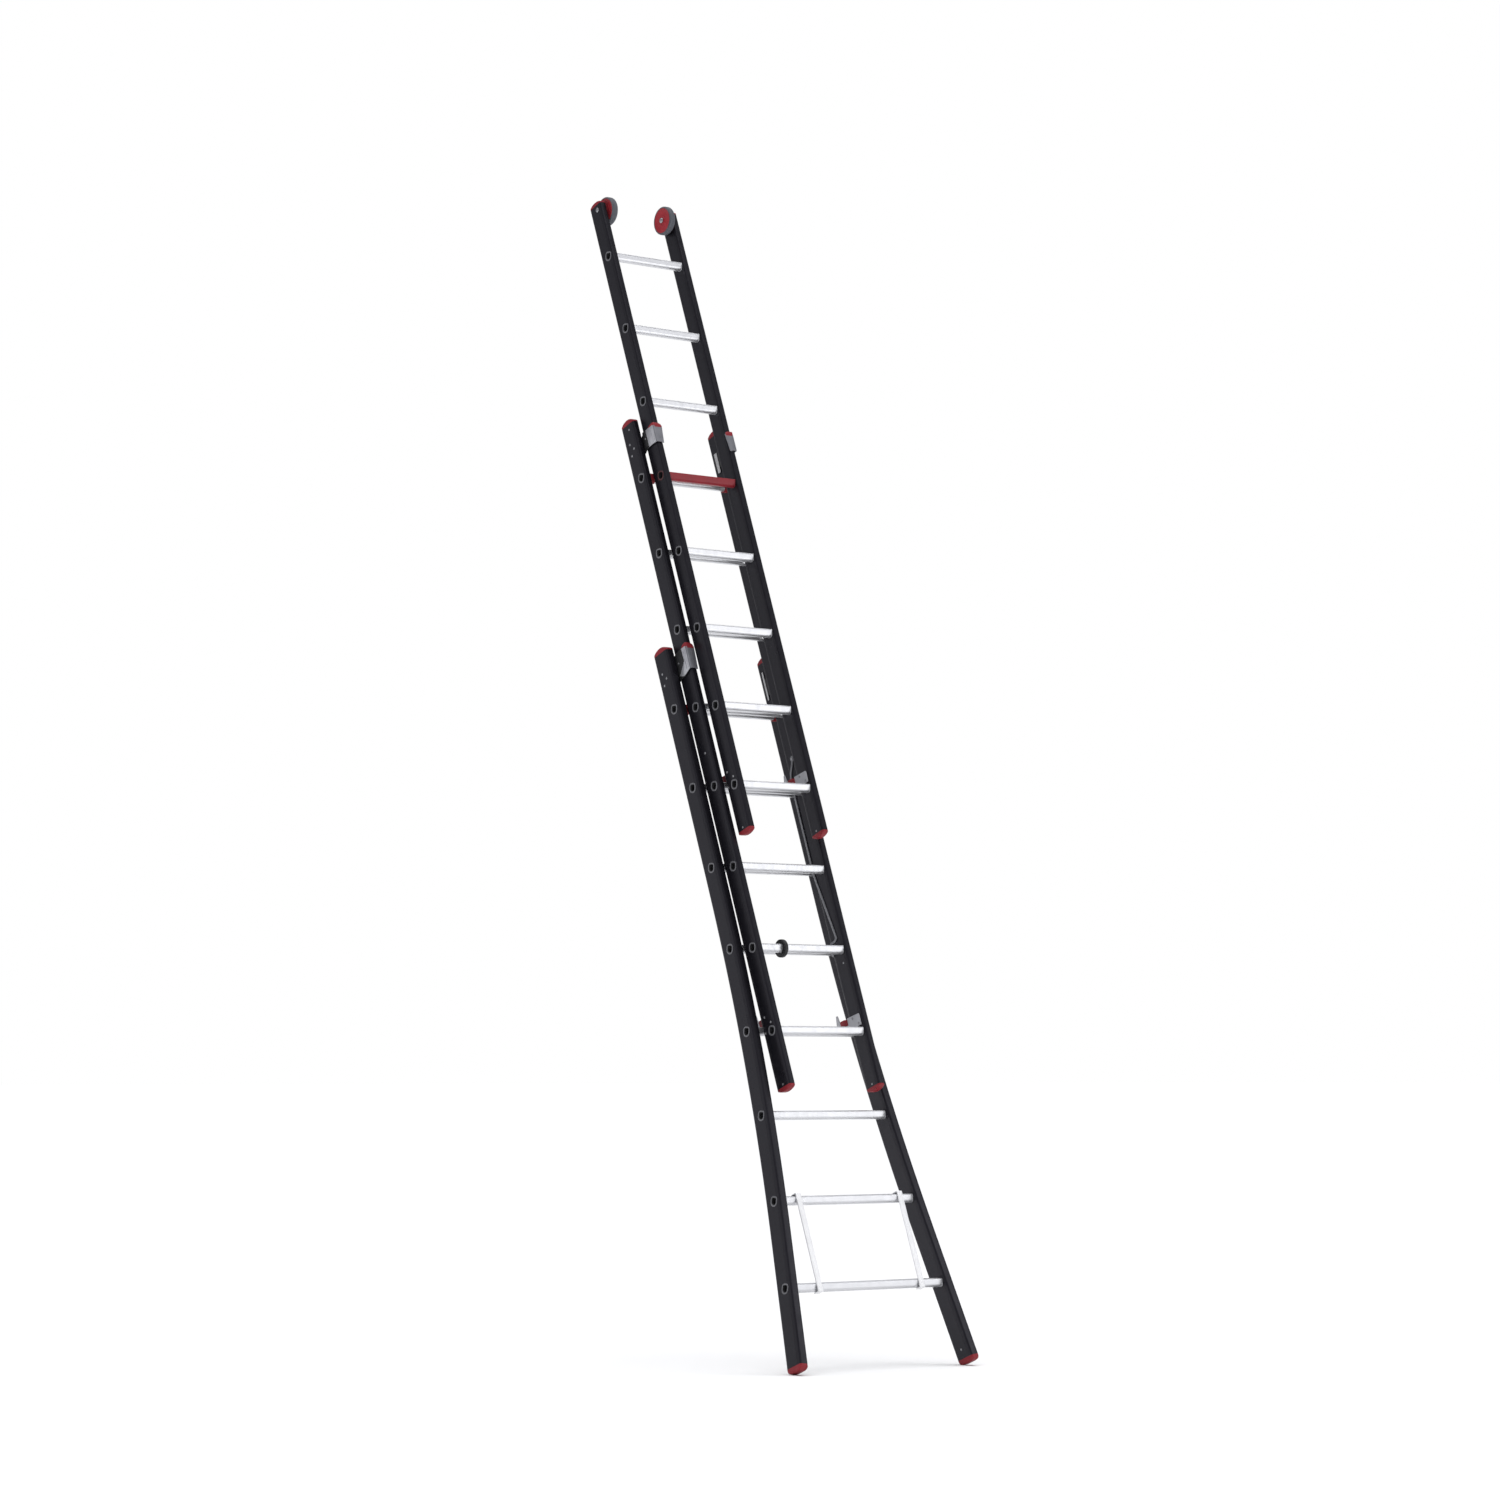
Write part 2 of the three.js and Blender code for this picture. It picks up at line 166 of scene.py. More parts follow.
def fillet(points, radius, steps=4):
    """Rounds the corners of a closed outline."""
    out = []
    n = len(points)
    for i in range(n):
        p = Vector(points[i])
        a, b = Vector(points[i - 1]), Vector(points[(i + 1) % n])
        r = radius[i] if isinstance(radius, (list, tuple)) else radius
        u, v = (a - p).normalized(), (b - p).normalized()
        cosang = max(-0.9999, min(0.9999, u.dot(v)))
        half = math.acos(cosang) / 2
        if r <= 0 or half > math.radians(86):
            out.append((p.x, p.y))
            continue
        t = min(r / math.tan(half), 0.45 * (a - p).length, 0.45 * (b - p).length)
        rr = t * math.tan(half)
        centre = p + (u + v).normalized() * (rr / math.sin(half))
        s, e = p + u * t - centre, p + v * t - centre
        sweep = s.angle_signed(e)
        for q in range(steps + 1):
            d = s.copy()
            d.rotate(Matrix.Rotation(-sweep * q / steps, 2))
            out.append((centre.x + d.x, centre.y + d.y))
    return out


def inset(outline, d):
    """The outline moved inwards by d, for small d."""
    n = len(outline)
    area = sum(outline[i][0] * outline[(i + 1) % n][1] - outline[(i + 1) % n][0] * outline[i][1] for i in range(n))
    s = 1 if area > 0 else -1
    out = []
    for i in range(n):
        a, p, b = Vector(outline[i - 1]), Vector(outline[i]), Vector(outline[(i + 1) % n])
        u, v = (p - a), (b - p)
        if u.length < 1e-6 or v.length < 1e-6:
            out.append(tuple(p))
            continue
        nu = Vector((-u.y, u.x)).normalized() * s
        nv = Vector((-v.y, v.x)).normalized() * s
        m = (nu + nv)
        if m.length < 1e-6:
            m = nu
        m.normalize()
        k = d / max(0.5, m.dot(nu))
        q = p + m * k
        out.append((q.x, q.y))
    return out


def plate_x(bm, outline_zy, x0, x1, edge=0.5):
    """A plate whose outline lies in (z, y), from x0 to x1, with eased edges."""
    small = inset(outline_zy, edge)
    mid = inset(outline_zy, edge * 0.3)
    rings = []
    for x, o in ((x0, small), (x0 + edge * 0.3, mid), (x0 + edge, outline_zy),
                 (x1 - edge, outline_zy), (x1 - edge * 0.3, mid), (x1, small)):
        rings.append([(x, y, z) for z, y in o])
    loft(bm, rings, caps=True)
    return bm


def lathe_x(bm, profile, y, z, sides=40, closed=True):
    """Turns (r, x) points about the axis along x through (y, z)."""
    rows = []
    for r, x in profile:
        if r < 1e-6:
            rows.append([bm.verts.new((x, y, z))])
        else:
            rows.append([bm.verts.new((x, y + r * math.cos(2 * math.pi * i / sides), z + r * math.sin(2 * math.pi * i / sides)))
                         for i in range(sides)])
    pairs = list(zip(rows, rows[1:]))
    if closed and len(rows[0]) > 1 and len(rows[-1]) > 1:
        pairs.append((rows[-1], rows[0]))
    for a, b in pairs:
        for i in range(sides):
            j = (i + 1) % sides
            if len(a) == 1 and len(b) == 1:
                continue
            if len(a) == 1:
                bm.faces.new((a[0], b[j], b[i]))
            elif len(b) == 1:
                bm.faces.new((a[i], a[j], b[0]))
            else:
                bm.faces.new((a[i], a[j], b[j], b[i]))
    return bm


def rivet(bm, x, y, z, r=4.6, h=1.3, sign=1):
    """A low domed rivet head standing on the face at x."""
    lathe_x(bm, [(0, x - sign * 0.3), (r, x - sign * 0.3), (r, x + sign * h * 0.25), (r * 0.93, x + sign * h * 0.55),
                 (r * 0.74, x + sign * h * 0.82), (r * 0.4, x + sign * h * 0.97), (0, x + sign * h)], y, z, 20, closed=False)


def rounded_box(bm, x0, x1, y0, y1, z0, z1, r=1.0, e=0.4):
    outline = fillet([(z0, y0), (z1, y0), (z1, y1), (z0, y1)], r)
    plate_x(bm, outline, x0, x1, e)
    return bm


# ------------------------------------------------------------------ materials
def new_material(name):
    m = bpy.data.materials.new(name)
    m.use_nodes = True
    nt = m.node_tree
    shader = next(n for n in nt.nodes if n.type == "BSDF_PRINCIPLED")
    return m, nt, shader


def coords(nt, scale=(1, 1, 1), along_ladder=False):
    tc = nt.nodes.new("ShaderNodeTexCoord")
    mp = nt.nodes.new("ShaderNodeMapping")
    if along_ladder:
        turn = nt.nodes.new("ShaderNodeMapping")
        turn.inputs["Rotation"].default_value = (LEAN, 0, 0)
        nt.links.new(tc.outputs["Object"], turn.inputs["Vector"])
        nt.links.new(turn.outputs["Vector"], mp.inputs["Vector"])
    else:
        nt.links.new(tc.outputs["Object"], mp.inputs["Vector"])
    mp.inputs["Scale"].default_value = scale
    return mp.outputs["Vector"]


def noise(nt, vec, scale, detail=3.0, rough=0.5, distortion=0.0):
    n = nt.nodes.new("ShaderNodeTexNoise")
    n.inputs["Scale"].default_value = scale
    n.inputs["Detail"].default_value = detail
    n.inputs["Roughness"].default_value = rough
    n.inputs["Distortion"].default_value = distortion
    nt.links.new(vec, n.inputs["Vector"])
    return n.outputs["Fac"]


def ramp(nt, fac, stops):
    r = nt.nodes.new("ShaderNodeValToRGB")
    el = r.color_ramp.elements
    while len(el) < len(stops):
        el.new(0.5)
    for e, (pos, col) in zip(el, stops):
        e.position = pos
        c = col if isinstance(col, (tuple, list)) else (col, col, col)
        e.color = (*c, 1)
    nt.links.new(fac, r.inputs["Fac"])
    return r.outputs["Color"]


def mix(nt, fac, a, b):
    m = nt.nodes.new("ShaderNodeMix")
    m.data_type = "RGBA"
    nt.links.new(fac, m.inputs[0])
    for socket, v in ((m.inputs[6], a), (m.inputs[7], b)):
        if isinstance(v, (tuple, list)):
            socket.default_value = (*v, 1)
        else:
            nt.links.new(v, socket)
    return m.outputs[2]


def times(nt, a, b):
    m = nt.nodes.new("ShaderNodeMath")
    m.operation = "MULTIPLY"
    nt.links.new(a, m.inputs[0])
    if isinstance(b, float):
        m.inputs[1].default_value = b
    else:
        nt.links.new(b, m.inputs[1])
    return m.outputs[0]


def bump(nt, shader, layers):
    """layers: (height socket, strength, distance in metres)"""
    last = None
    for h, strength, dist in layers:
        b = nt.nodes.new("ShaderNodeBump")
        b.inputs["Strength"].default_value = strength
        b.inputs["Distance"].default_value = dist
        nt.links.new(h, b.inputs["Height"])
        if last is not None:
            nt.links.new(last, b.inputs["Normal"])
        last = b.outputs["Normal"]
    nt.links.new(last, shader.inputs["Normal"])


def coat_material():
    """Charcoal powder coat: fine orange peel, slight clouding, a few rub marks along the tube."""
    m, nt, s = new_material("stile_charcoal")
    cloud = noise(nt, coords(nt), 2.4, 4, 0.55)
    base = ramp(nt, cloud, [(0.3, (0.0050, 0.0046, 0.0068)), (0.7, (0.0078, 0.0073, 0.0100))])
    fleck = noise(nt, coords(nt), 1400, 1, 0.5)
    base = mix(nt, ramp(nt, fleck, [(0.55, 0.0), (0.72, 0.45)]), base, (0.016, 0.015, 0.019))
    streak = noise(nt, coords(nt, (420, 420, 7), True), 1.0, 3, 0.6)
    where = noise(nt, coords(nt), 3.1, 2, 0.5)
    rub = times(nt, ramp(nt, streak, [(0.66, 0.0), (0.74, 1.0)]), ramp(nt, where, [(0.50, 0.0), (0.66, 0.7)]))
    base = mix(nt, rub, base, (0.036, 0.035, 0.040))
    nt.links.new(base, s.inputs["Base Color"])
    r = ramp(nt, noise(nt, coords(nt), 34, 4, 0.6), [(0.3, 0.27), (0.7, 0.38)])
    nt.links.new(mix(nt, rub, r, (0.24, 0.24, 0.24)), s.inputs["Roughness"])
    s.inputs["Specular IOR Level"].default_value = 0.30
    s.inputs["Specular Tint"].default_value = (0.90, 0.88, 1.0, 1)
    bump(nt, s, [(noise(nt, coords(nt), 760, 2, 0.5), 0.22, 0.00020), (fleck, 0.10, 0.00006), (rub, 0.2, 0.00004)])
    return m


def rung_material():
    """Mill-finish aluminium drawn along the rung, with scuffed treads."""
    m, nt, s = new_material("rung_aluminium")
    drawn = noise(nt, coords(nt, (5, 900, 900)), 1.0, 3, 0.6)
    cloud = noise(nt, coords(nt), 9, 4, 0.6)
    base = mix(nt, ramp(nt, drawn, [(0.30, 0.0), (0.70, 1.0)]), (0.62, 0.625, 0.645), (0.68, 0.685, 0.705))
    base = mix(nt, ramp(nt, cloud, [(0.35, 0.0), (0.75, 0.30)]), base, (0.56, 0.565, 0.59))
    nt.links.new(base, s.inputs["Base Color"])
    s.inputs["Metallic"].default_value = 0.9
    scuff = noise(nt, coords(nt, (60, 14, 14)), 1.0, 5, 0.7)
    r = mix(nt, ramp(nt, scuff, [(0.4, 0.0), (0.7, 1.0)]), ramp(nt, drawn, [(0.3, 0.36), (0.7, 0.42)]), (0.48, 0.48, 0.48))
    nt.links.new(r, s.inputs["Roughness"])
    bump(nt, s, [(drawn, 0.08, 0.00006), (scuff, 0.05, 0.00008)])
    return m


def bracket_material(name, low, high, glint, metallic, rough):
    """Pressed and tumbled sheet metal, a little dull; the same recipe also gives the rung ends and the painted shade of
    the rung bores.
    """
    m, nt, s = new_material(name)
    grain = noise(nt, coords(nt), 620, 3, 0.6)
    cloud = noise(nt, coords(nt), 26, 4, 0.6)
    base = mix(nt, ramp(nt, cloud, [(0.3, 0.0), (0.7, 1.0)]), low, high)
    base = mix(nt, ramp(nt, grain, [(0.5, 0.0), (0.8, 0.4)]), base, glint)
    nt.links.new(base, s.inputs["Base Color"])
    s.inputs["Metallic"].default_value = metallic
    nt.links.new(ramp(nt, cloud, [(0.25, rough - 0.08), (0.75, rough + 0.08)]), s.inputs["Roughness"])
    bump(nt, s, [(grain, 0.15, 0.00008), (noise(nt, coords(nt), 70, 3, 0.6), 0.12, 0.00025)])
    return m


def red_plastic_material(name, low, high):
    m, nt, s = new_material(name)
    cloud = noise(nt, coords(nt), 30, 4, 0.6)
    grain = noise(nt, coords(nt), 1500, 2, 0.5)
    base = mix(nt, ramp(nt, cloud, [(0.3, 0.0), (0.7, 1.0)]), low, high)
    worn = noise(nt, coords(nt, (1, 1, 1)), 95, 5, 0.7)
    base = mix(nt, ramp(nt, worn, [(0.62, 0.0), (0.74, 0.4)]), base, (0.34, 0.060, 0.066))
    nt.links.new(base, s.inputs["Base Color"])
    nt.links.new(ramp(nt, worn, [(0.3, 0.38), (0.75, 0.56)]), s.inputs["Roughness"])
    s.inputs["Specular IOR Level"].default_value = 0.22
    bump(nt, s, [(grain, 0.25, 0.00006), (cloud, 0.08, 0.00020)])
    return m


def red_rung_material():
    """Aluminium rung painted red; the paint is thinner where boots and hands touch it."""
    m, nt, s = new_material("rung_red")
    drawn = noise(nt, coords(nt, (5, 700, 700)), 1.0, 3, 0.6)
    cloud = noise(nt, coords(nt), 14, 4, 0.6)
    base = mix(nt, ramp(nt, cloud, [(0.3, 0.0), (0.7, 1.0)]), (0.215, 0.014, 0.022), (0.270, 0.022, 0.031))
    chip = times(nt, ramp(nt, noise(nt, coords(nt, (160, 60, 60)), 1.0, 5, 0.75), [(0.66, 0.0), (0.70, 1.0)]),
                 ramp(nt, noise(nt, coords(nt), 11, 2, 0.5), [(0.52, 0.0), (0.62, 0.8)]))
    base = mix(nt, chip, base, (0.42, 0.22, 0.23))
    nt.links.new(base, s.inputs["Base Color"])
    nt.links.new(ramp(nt, cloud, [(0.25, 0.30), (0.75, 0.42)]), s.inputs["Roughness"])
    nt.links.new(times(nt, chip, 0.8), s.inputs["Metallic"])
    s.inputs["Specular IOR Level"].default_value = 0.25
    bump(nt, s, [(drawn, 0.10, 0.00008), (chip, 0.25, 0.00005)])
    return m


def black_plastic_material():
    m, nt, s = new_material("plastic_black")
    grain = noise(nt, coords(nt), 1300, 2, 0.5)
    cloud = noise(nt, coords(nt), 40, 4, 0.6)
    base = mix(nt, ramp(nt, cloud, [(0.3, 0.0), (0.7, 1.0)]), (0.0085, 0.0085, 0.0095), (0.0150, 0.0150, 0.0165))
    scratch = ramp(nt, noise(nt, coords(nt, (90, 420, 90)), 1.0, 3, 0.6), [(0.66, 0.0), (0.72, 0.5)])
    base = mix(nt, scratch, base, (0.040, 0.040, 0.043))
    nt.links.new(base, s.inputs["Base Color"])
    nt.links.new(ramp(nt, cloud, [(0.25, 0.42), (0.75, 0.60)]), s.inputs["Roughness"])
    s.inputs["Specular IOR Level"].default_value = 0.35
    bump(nt, s, [(grain, 0.25, 0.00006), (scratch, 0.1, 0.00004)])
    return m


def tyre_material():
    """Grey rubber, rubbed lighter in bands round the tread."""
    m, nt, s = new_material("roller_grey")
    band = noise(nt, coords(nt, (320, 12, 12)), 1.0, 3, 0.6)
    dust = noise(nt, coords(nt), 60, 5, 0.7)
    base = mix(nt, ramp(nt, band, [(0.35, 0.0), (0.7, 1.0)]), (0.080, 0.083, 0.097), (0.112, 0.116, 0.132))
    base = mix(nt, ramp(nt, dust, [(0.55, 0.0), (0.75, 0.5)]), base, (0.165, 0.168, 0.180))
    nt.links.new(base, s.inputs["Base Color"])
    nt.links.new(ramp(nt, dust, [(0.3, 0.62), (0.7, 0.82)]), s.inputs["Roughness"])
    s.inputs["Specular IOR Level"].default_value = 0.3
    bump(nt, s, [(noise(nt, coords(nt), 900, 3, 0.6), 0.25, 0.00010), (band, 0.15, 0.00010)])
    return m


def bright_material():
    """Zinc-plated and turned steel."""
    m, nt, s = new_material("steel_bright")
    spin = noise(nt, coords(nt, (30, 1400, 1400)), 1.0, 2, 0.5)
    cloud = noise(nt, coords(nt), 120, 4, 0.6)
    base = mix(nt, ramp(nt, cloud, [(0.3, 0.0), (0.7, 1.0)]), (0.30, 0.305, 0.32), (0.42, 0.425, 0.44))
    nt.links.new(base, s.inputs["Base Color"])
    s.inputs["Metallic"].default_value = 0.9
    nt.links.new(ramp(nt, cloud, [(0.3, 0.30), (0.75, 0.46)]), s.inputs["Roughness"])
    bump(nt, s, [(spin, 0.12, 0.00004), (cloud, 0.10, 0.00008)])
    return m


def label_material():
    m, nt, s = new_material("label_blank")
    fibre = noise(nt, coords(nt), 900, 3, 0.6)
    cloud = noise(nt, coords(nt), 45, 4, 0.6)
    base = mix(nt, ramp(nt, cloud, [(0.3, 0.0), (0.7, 1.0)]), (0.42, 0.42, 0.43), (0.50, 0.50, 0.51))
    nt.links.new(base, s.inputs["Base Color"])
    nt.links.new(ramp(nt, cloud, [(0.25, 0.36), (0.75, 0.52)]), s.inputs["Roughness"])
    bump(nt, s, [(fibre, 0.12, 0.00005)])
    return m


COAT = coat_material()
ALU = rung_material()
GREY = bracket_material("bracket_grey", (0.40, 0.402, 0.430), (0.50, 0.502, 0.532), (0.62, 0.622, 0.65), 0.6, 0.46)
FLANGE_GREY = bracket_material("flange_grey", (0.20, 0.202, 0.222), (0.27, 0.272, 0.296), (0.38, 0.382, 0.405), 0.7, 0.46)
STAY_GREY = bracket_material("stay_grey", (0.17, 0.171, 0.185), (0.24, 0.241, 0.256), (0.34, 0.341, 0.355), 0.65, 0.48)
RIVET = bracket_material("rivet_steel", (0.22, 0.222, 0.235), (0.32, 0.322, 0.337), (0.46, 0.462, 0.475), 0.7, 0.42)
PALE = bracket_material("brace_pale", (0.80, 0.802, 0.815), (0.88, 0.882, 0.892), (0.92, 0.922, 0.93), 0.15, 0.45)
END = bracket_material("rung_end", (0.105, 0.105, 0.115), (0.150, 0.150, 0.162), (0.210, 0.210, 0.222), 0.25, 0.45)
END_RED = bracket_material("rung_end_red", (0.050, 0.012, 0.014), (0.075, 0.015, 0.018), (0.100, 0.030, 0.034), 0.05, 0.48)
# painted shade: the hollow rung's inside, darkened to stand for the shadow within the tube
BORE_SHADE = bracket_material("rung_bore_painted_shade", (0.016, 0.016, 0.018), (0.026, 0.026, 0.029), (0.040, 0.040, 0.044), 0.2, 0.60)
RED = red_plastic_material("plastic_red", (0.205, 0.014, 0.021), (0.255, 0.020, 0.028))
RED_HUB = red_plastic_material("hub_red", (0.300, 0.020, 0.029), (0.365, 0.028, 0.038))
RED_RUNG = red_rung_material()
BLACK = black_plastic_material()
TYRE = tyre_material()
BRIGHT = bright_material()
LABEL = label_material()

# ------------------------------------------------------------------ rungs


def arc(cx, cy, r, a0, a1, steps):
    return [(cx + r * math.cos(math.radians(a0 + (a1 - a0) * i / steps)),
             cy + r * math.sin(math.radians(a0 + (a1 - a0) * i / steps))) for i in range(steps + 1)]


RIBS = (-5.6, -2.8, 0.0, 2.8, 5.6)


def rung_outline(grow, rib=0.0, soft=0.0):
    """Square tube, tread on top; (u, v) = (towards the climber, up). Always the same number of points."""
    h = RUNG_HALF + grow
    t, b = max(4.6 + grow + soft, 1.0), min(max(11 + grow + soft * 0.3, 1.0), h - 0.4)
    eps = 0.25
    pts = arc(h - b, -(h - b), b, -90, 0, 8)
    pts += [(h, -(h - b) + eps), (h, h - t - eps)]
    pts += arc(h - t, h - t, t, 0, 90, 7)
    top = []
    for c in RIBS:
        top += [(c - 1.0, h), (c - 0.55, h + rib), (c + 0.55, h + rib), (c + 1.0, h)]
    pts += [(x, y) for x, y in reversed(top)]
    pts += arc(-(h - t), h - t, t, 90, 180, 7)
    pts += [(-h, h - t - eps), (-h, -(h - b) + eps)]
    pts += arc(-(h - b), -(h - b), b, 180, 270, 8)
    return pts


def rung_points(outline, y, x_of):
    out = []
    for u, v in outline:
        yy, zz = y - SIN * u + COS * v, COS * u + SIN * v
        out.append((x_of(yy), yy, zz))
    return out


def build_rung(k, n):
    y0 = (n - 1) * PITCH

    def out(d, side):
        return lambda y: side * (outer_at(k, y) + d)

    def inn(d, side):
        return lambda y: side * (outer_at(k, y) - STILE_T[k] - d)

    half = [  # (grow, rib, soft, position) from the bore outwards round the rolled end and back to the tread
        (-3.4, 0, 3.0, lambda s: out(-14.0, s)), (-3.4, 0, 3.0, lambda s: out(-0.9, s)), (-2.6, 0, 3.6, lambda s: out(0.6, s)),
        (-1.4, 0, 4.4, lambda s: out(1.35, s)), (0.2, 0, 5.0, lambda s: out(1.5, s)), (1.5, 0, 5.2, lambda s: out(1.2, s)),
        (2.4, 0, 5.0, lambda s: out(0.6, s)), (2.6, 0, 5.0, lambda s: out(0.0, s)), (0.0, 0, 0, lambda s: out(-0.1, s)),
        (0.0, 0, 0, lambda s: inn(-0.1, s)), (0.35, 0, 0, lambda s: inn(0.0, s)), (0.45, 0, 0, lambda s: inn(0.5, s)),
        (0.35, 0, 0, lambda s: inn(1.0, s)), (0.12, 0, 0, lambda s: inn(1.5, s)), (0.0, 0, 0, lambda s: inn(2.2, s)),
        (0.0, 0, 0, lambda s: inn(6.2, s)), (0.0, 0.5, 0, lambda s: inn(7.2, s)),
    ]
    right = [rung_points(rung_outline(g, rib, soft), y0, f(1)) for g, rib, soft, f in half]
    left = [rung_points(rung_outline(g, rib, soft), y0, f(-1)) for g, rib, soft, f in half]
    bm = bmesh.new()
    rows = loft(bm, right + list(reversed(left)), closed=True)
    ends, bore = set(), set()                        # rolled rim in a darker grey; the bore gets painted shade, the hollow tube's inside darkened as if in shadow
    for row in rows[:9] + rows[-9:]:
        ends.update(row)
    for row in rows[:3] + rows[-3:]:
        bore.update(row)
    for f in bm.faces:
        if all(v in bore for v in f.verts):
            f.material_index = 2
        elif all(v in ends for v in f.verts):
            f.material_index = 1
    return bm


for k, name in enumerate(SECTIONS):
    for n in range(1, RUNGS + 1):
        red = k == 2 and n == 5
        ob = emit(f"{name}_rung_{n}_tube", build_rung(k, n), k, RED_RUNG if red else ALU,
                  replaces=[f"{name}_rung_{n}"], angle=38)
        ob.data.materials.append(END_RED if red else END)
        # painted shade for the bore faces
        ob.data.materials.append(BORE_SHADE)

# ------------------------------------------------------------------ stile tubes


def stile_profile(k):
    """Half thickness against depth: flat centre band, a fine groove each side, tapered edges, soft corners."""
    wide, deep = STILE_T[k] / 2 - 12.5, STILE_D[k] / 2 - 32
    q = [(12.5, 0.0), (12.5, 8.0), (12.5, 16.8), (12.5, 17.3), (12.12, 17.8), (12.12, 18.6), (12.46, 19.1), (12.40, 19.8),
         (12.05, 24.8), (11.98, 25.6)]
    q += [(6.0 + 5.96 * math.cos(math.radians(a)) ** 1.0, 25.6 + 6.15 * math.sin(math.radians(a))) for a in (11, 23, 36, 49, 62, 75, 86)]
    q += [(5.0, 31.82), (2.6, 31.95), (0.0, 32.0)]
    q = [(x + wide if x > 3 else x, z + deep * min(1.0, z / 17.0)) for x, z in q]
    right_top = q                                   # x > 0, z > 0, from the side to the front
    pts = list(right_top)
    pts += [(-x, z) for x, z in reversed(right_top[:-1])]
    pts += [(-x, -z) for x, z in right_top[1:]]
    pts += [(x, -z) for x, z in reversed(right_top[1:-1])]
    return pts


PROFILE = [stile_profile(k) for k in range(3)]


def on_stile(k, side, x, y, z):
    """A point given across the tube and along it, carried on to the real stile."""
    slope = side * flare_slope(y) if k == 0 else 0.0
    ln = math.hypot(1, slope)
    return (side * (outer_at(k, y) - STILE_T[k] / 2) + x / ln, y - x * slope / ln, z + STILE_SET[k])


def build_stile(k, side):
    y0, y1 = STILE_FOOT[k], STILE_END[k]
    if k == 0:
        ys = [y0, y0 + 30, 60, FLARE_END - 8]
        steps = 30
        ys += [FLARE_END + (FLARE_START - FLARE_END) * i / steps for i in range(steps + 1)]
        ys += [y1]
    else:
        ys = [y0, y1]
    bm = bmesh.new()
    loft(bm, [[on_stile(k, side, x, y, z) for x, z in PROFILE[k]] for y in ys], caps=True)
    bmesh.ops.recalc_face_normals(bm, faces=bm.faces)
    return bm


def cut_holes(bm, k, side):
    cutter = bmesh.new()
    for n in range(1, RUNGS + 1):
        y = (n - 1) * PITCH
        x = side * (outer_at(k, y) - STILE_T[k] / 2)
        o = fillet([(14.3, -14.3), (14.3, 14.3), (-14.3, 14.3), (-14.3, -14.3)], [11, 4.6, 4.6, 11], 6)
        loft(cutter, [rung_points(o, y, lambda yy, d=d: x + d) for d in (-22, 22)], caps=True)
    bmesh.ops.recalc_face_normals(cutter, faces=cutter.faces)
    a, b = bpy.data.meshes.new("tube"), bpy.data.meshes.new("cutter")
    bm.to_mesh(a)
    cutter.to_mesh(b)
    bm.free()
    cutter.free()
    oa, ob = bpy.data.objects.new("tube", a), bpy.data.objects.new("cutter", b)
    for o in (oa, ob):
        bpy.context.scene.collection.objects.link(o)
    md = oa.modifiers.new("holes", "BOOLEAN")
    md.operation, md.solver, md.object = "DIFFERENCE", "EXACT", ob
    dg = bpy.context.evaluated_depsgraph_get()
    me = bpy.data.meshes.new_from_object(oa.evaluated_get(dg))
    out = bmesh.new()
    out.from_mesh(me)
    for o in (oa, ob):
        bpy.data.objects.remove(o, do_unlink=True)
    for m in (me, a, b):
        bpy.data.meshes.remove(m)
    return out


for k, name in enumerate(SECTIONS):
    for side_name, side in SIDES:
        emit(f"{name}_stile_{side_name}_tube", cut_holes(build_stile(k, side), k, side), k, COAT,
             replaces=[f"{name}_stile_{side_name}"], angle=24)

# ------------------------------------------------------------------ caps and feet


def half_thickness(k, z):
    """Half thickness of the stile's outline at depth z from its centre."""
    half, deep = STILE_T[k] / 2, STILE_D[k] / 2 - 32
    z = abs(z) - deep
    if z <= 25.6:
        return half if z < 17 else half - 0.5 * (z - 17) / 8.6
    t = min(1.0, (z - 25.6) / 6.4)
    return half - 7.5 + 7.0 * math.sqrt(max(0.0, 1 - t * t))


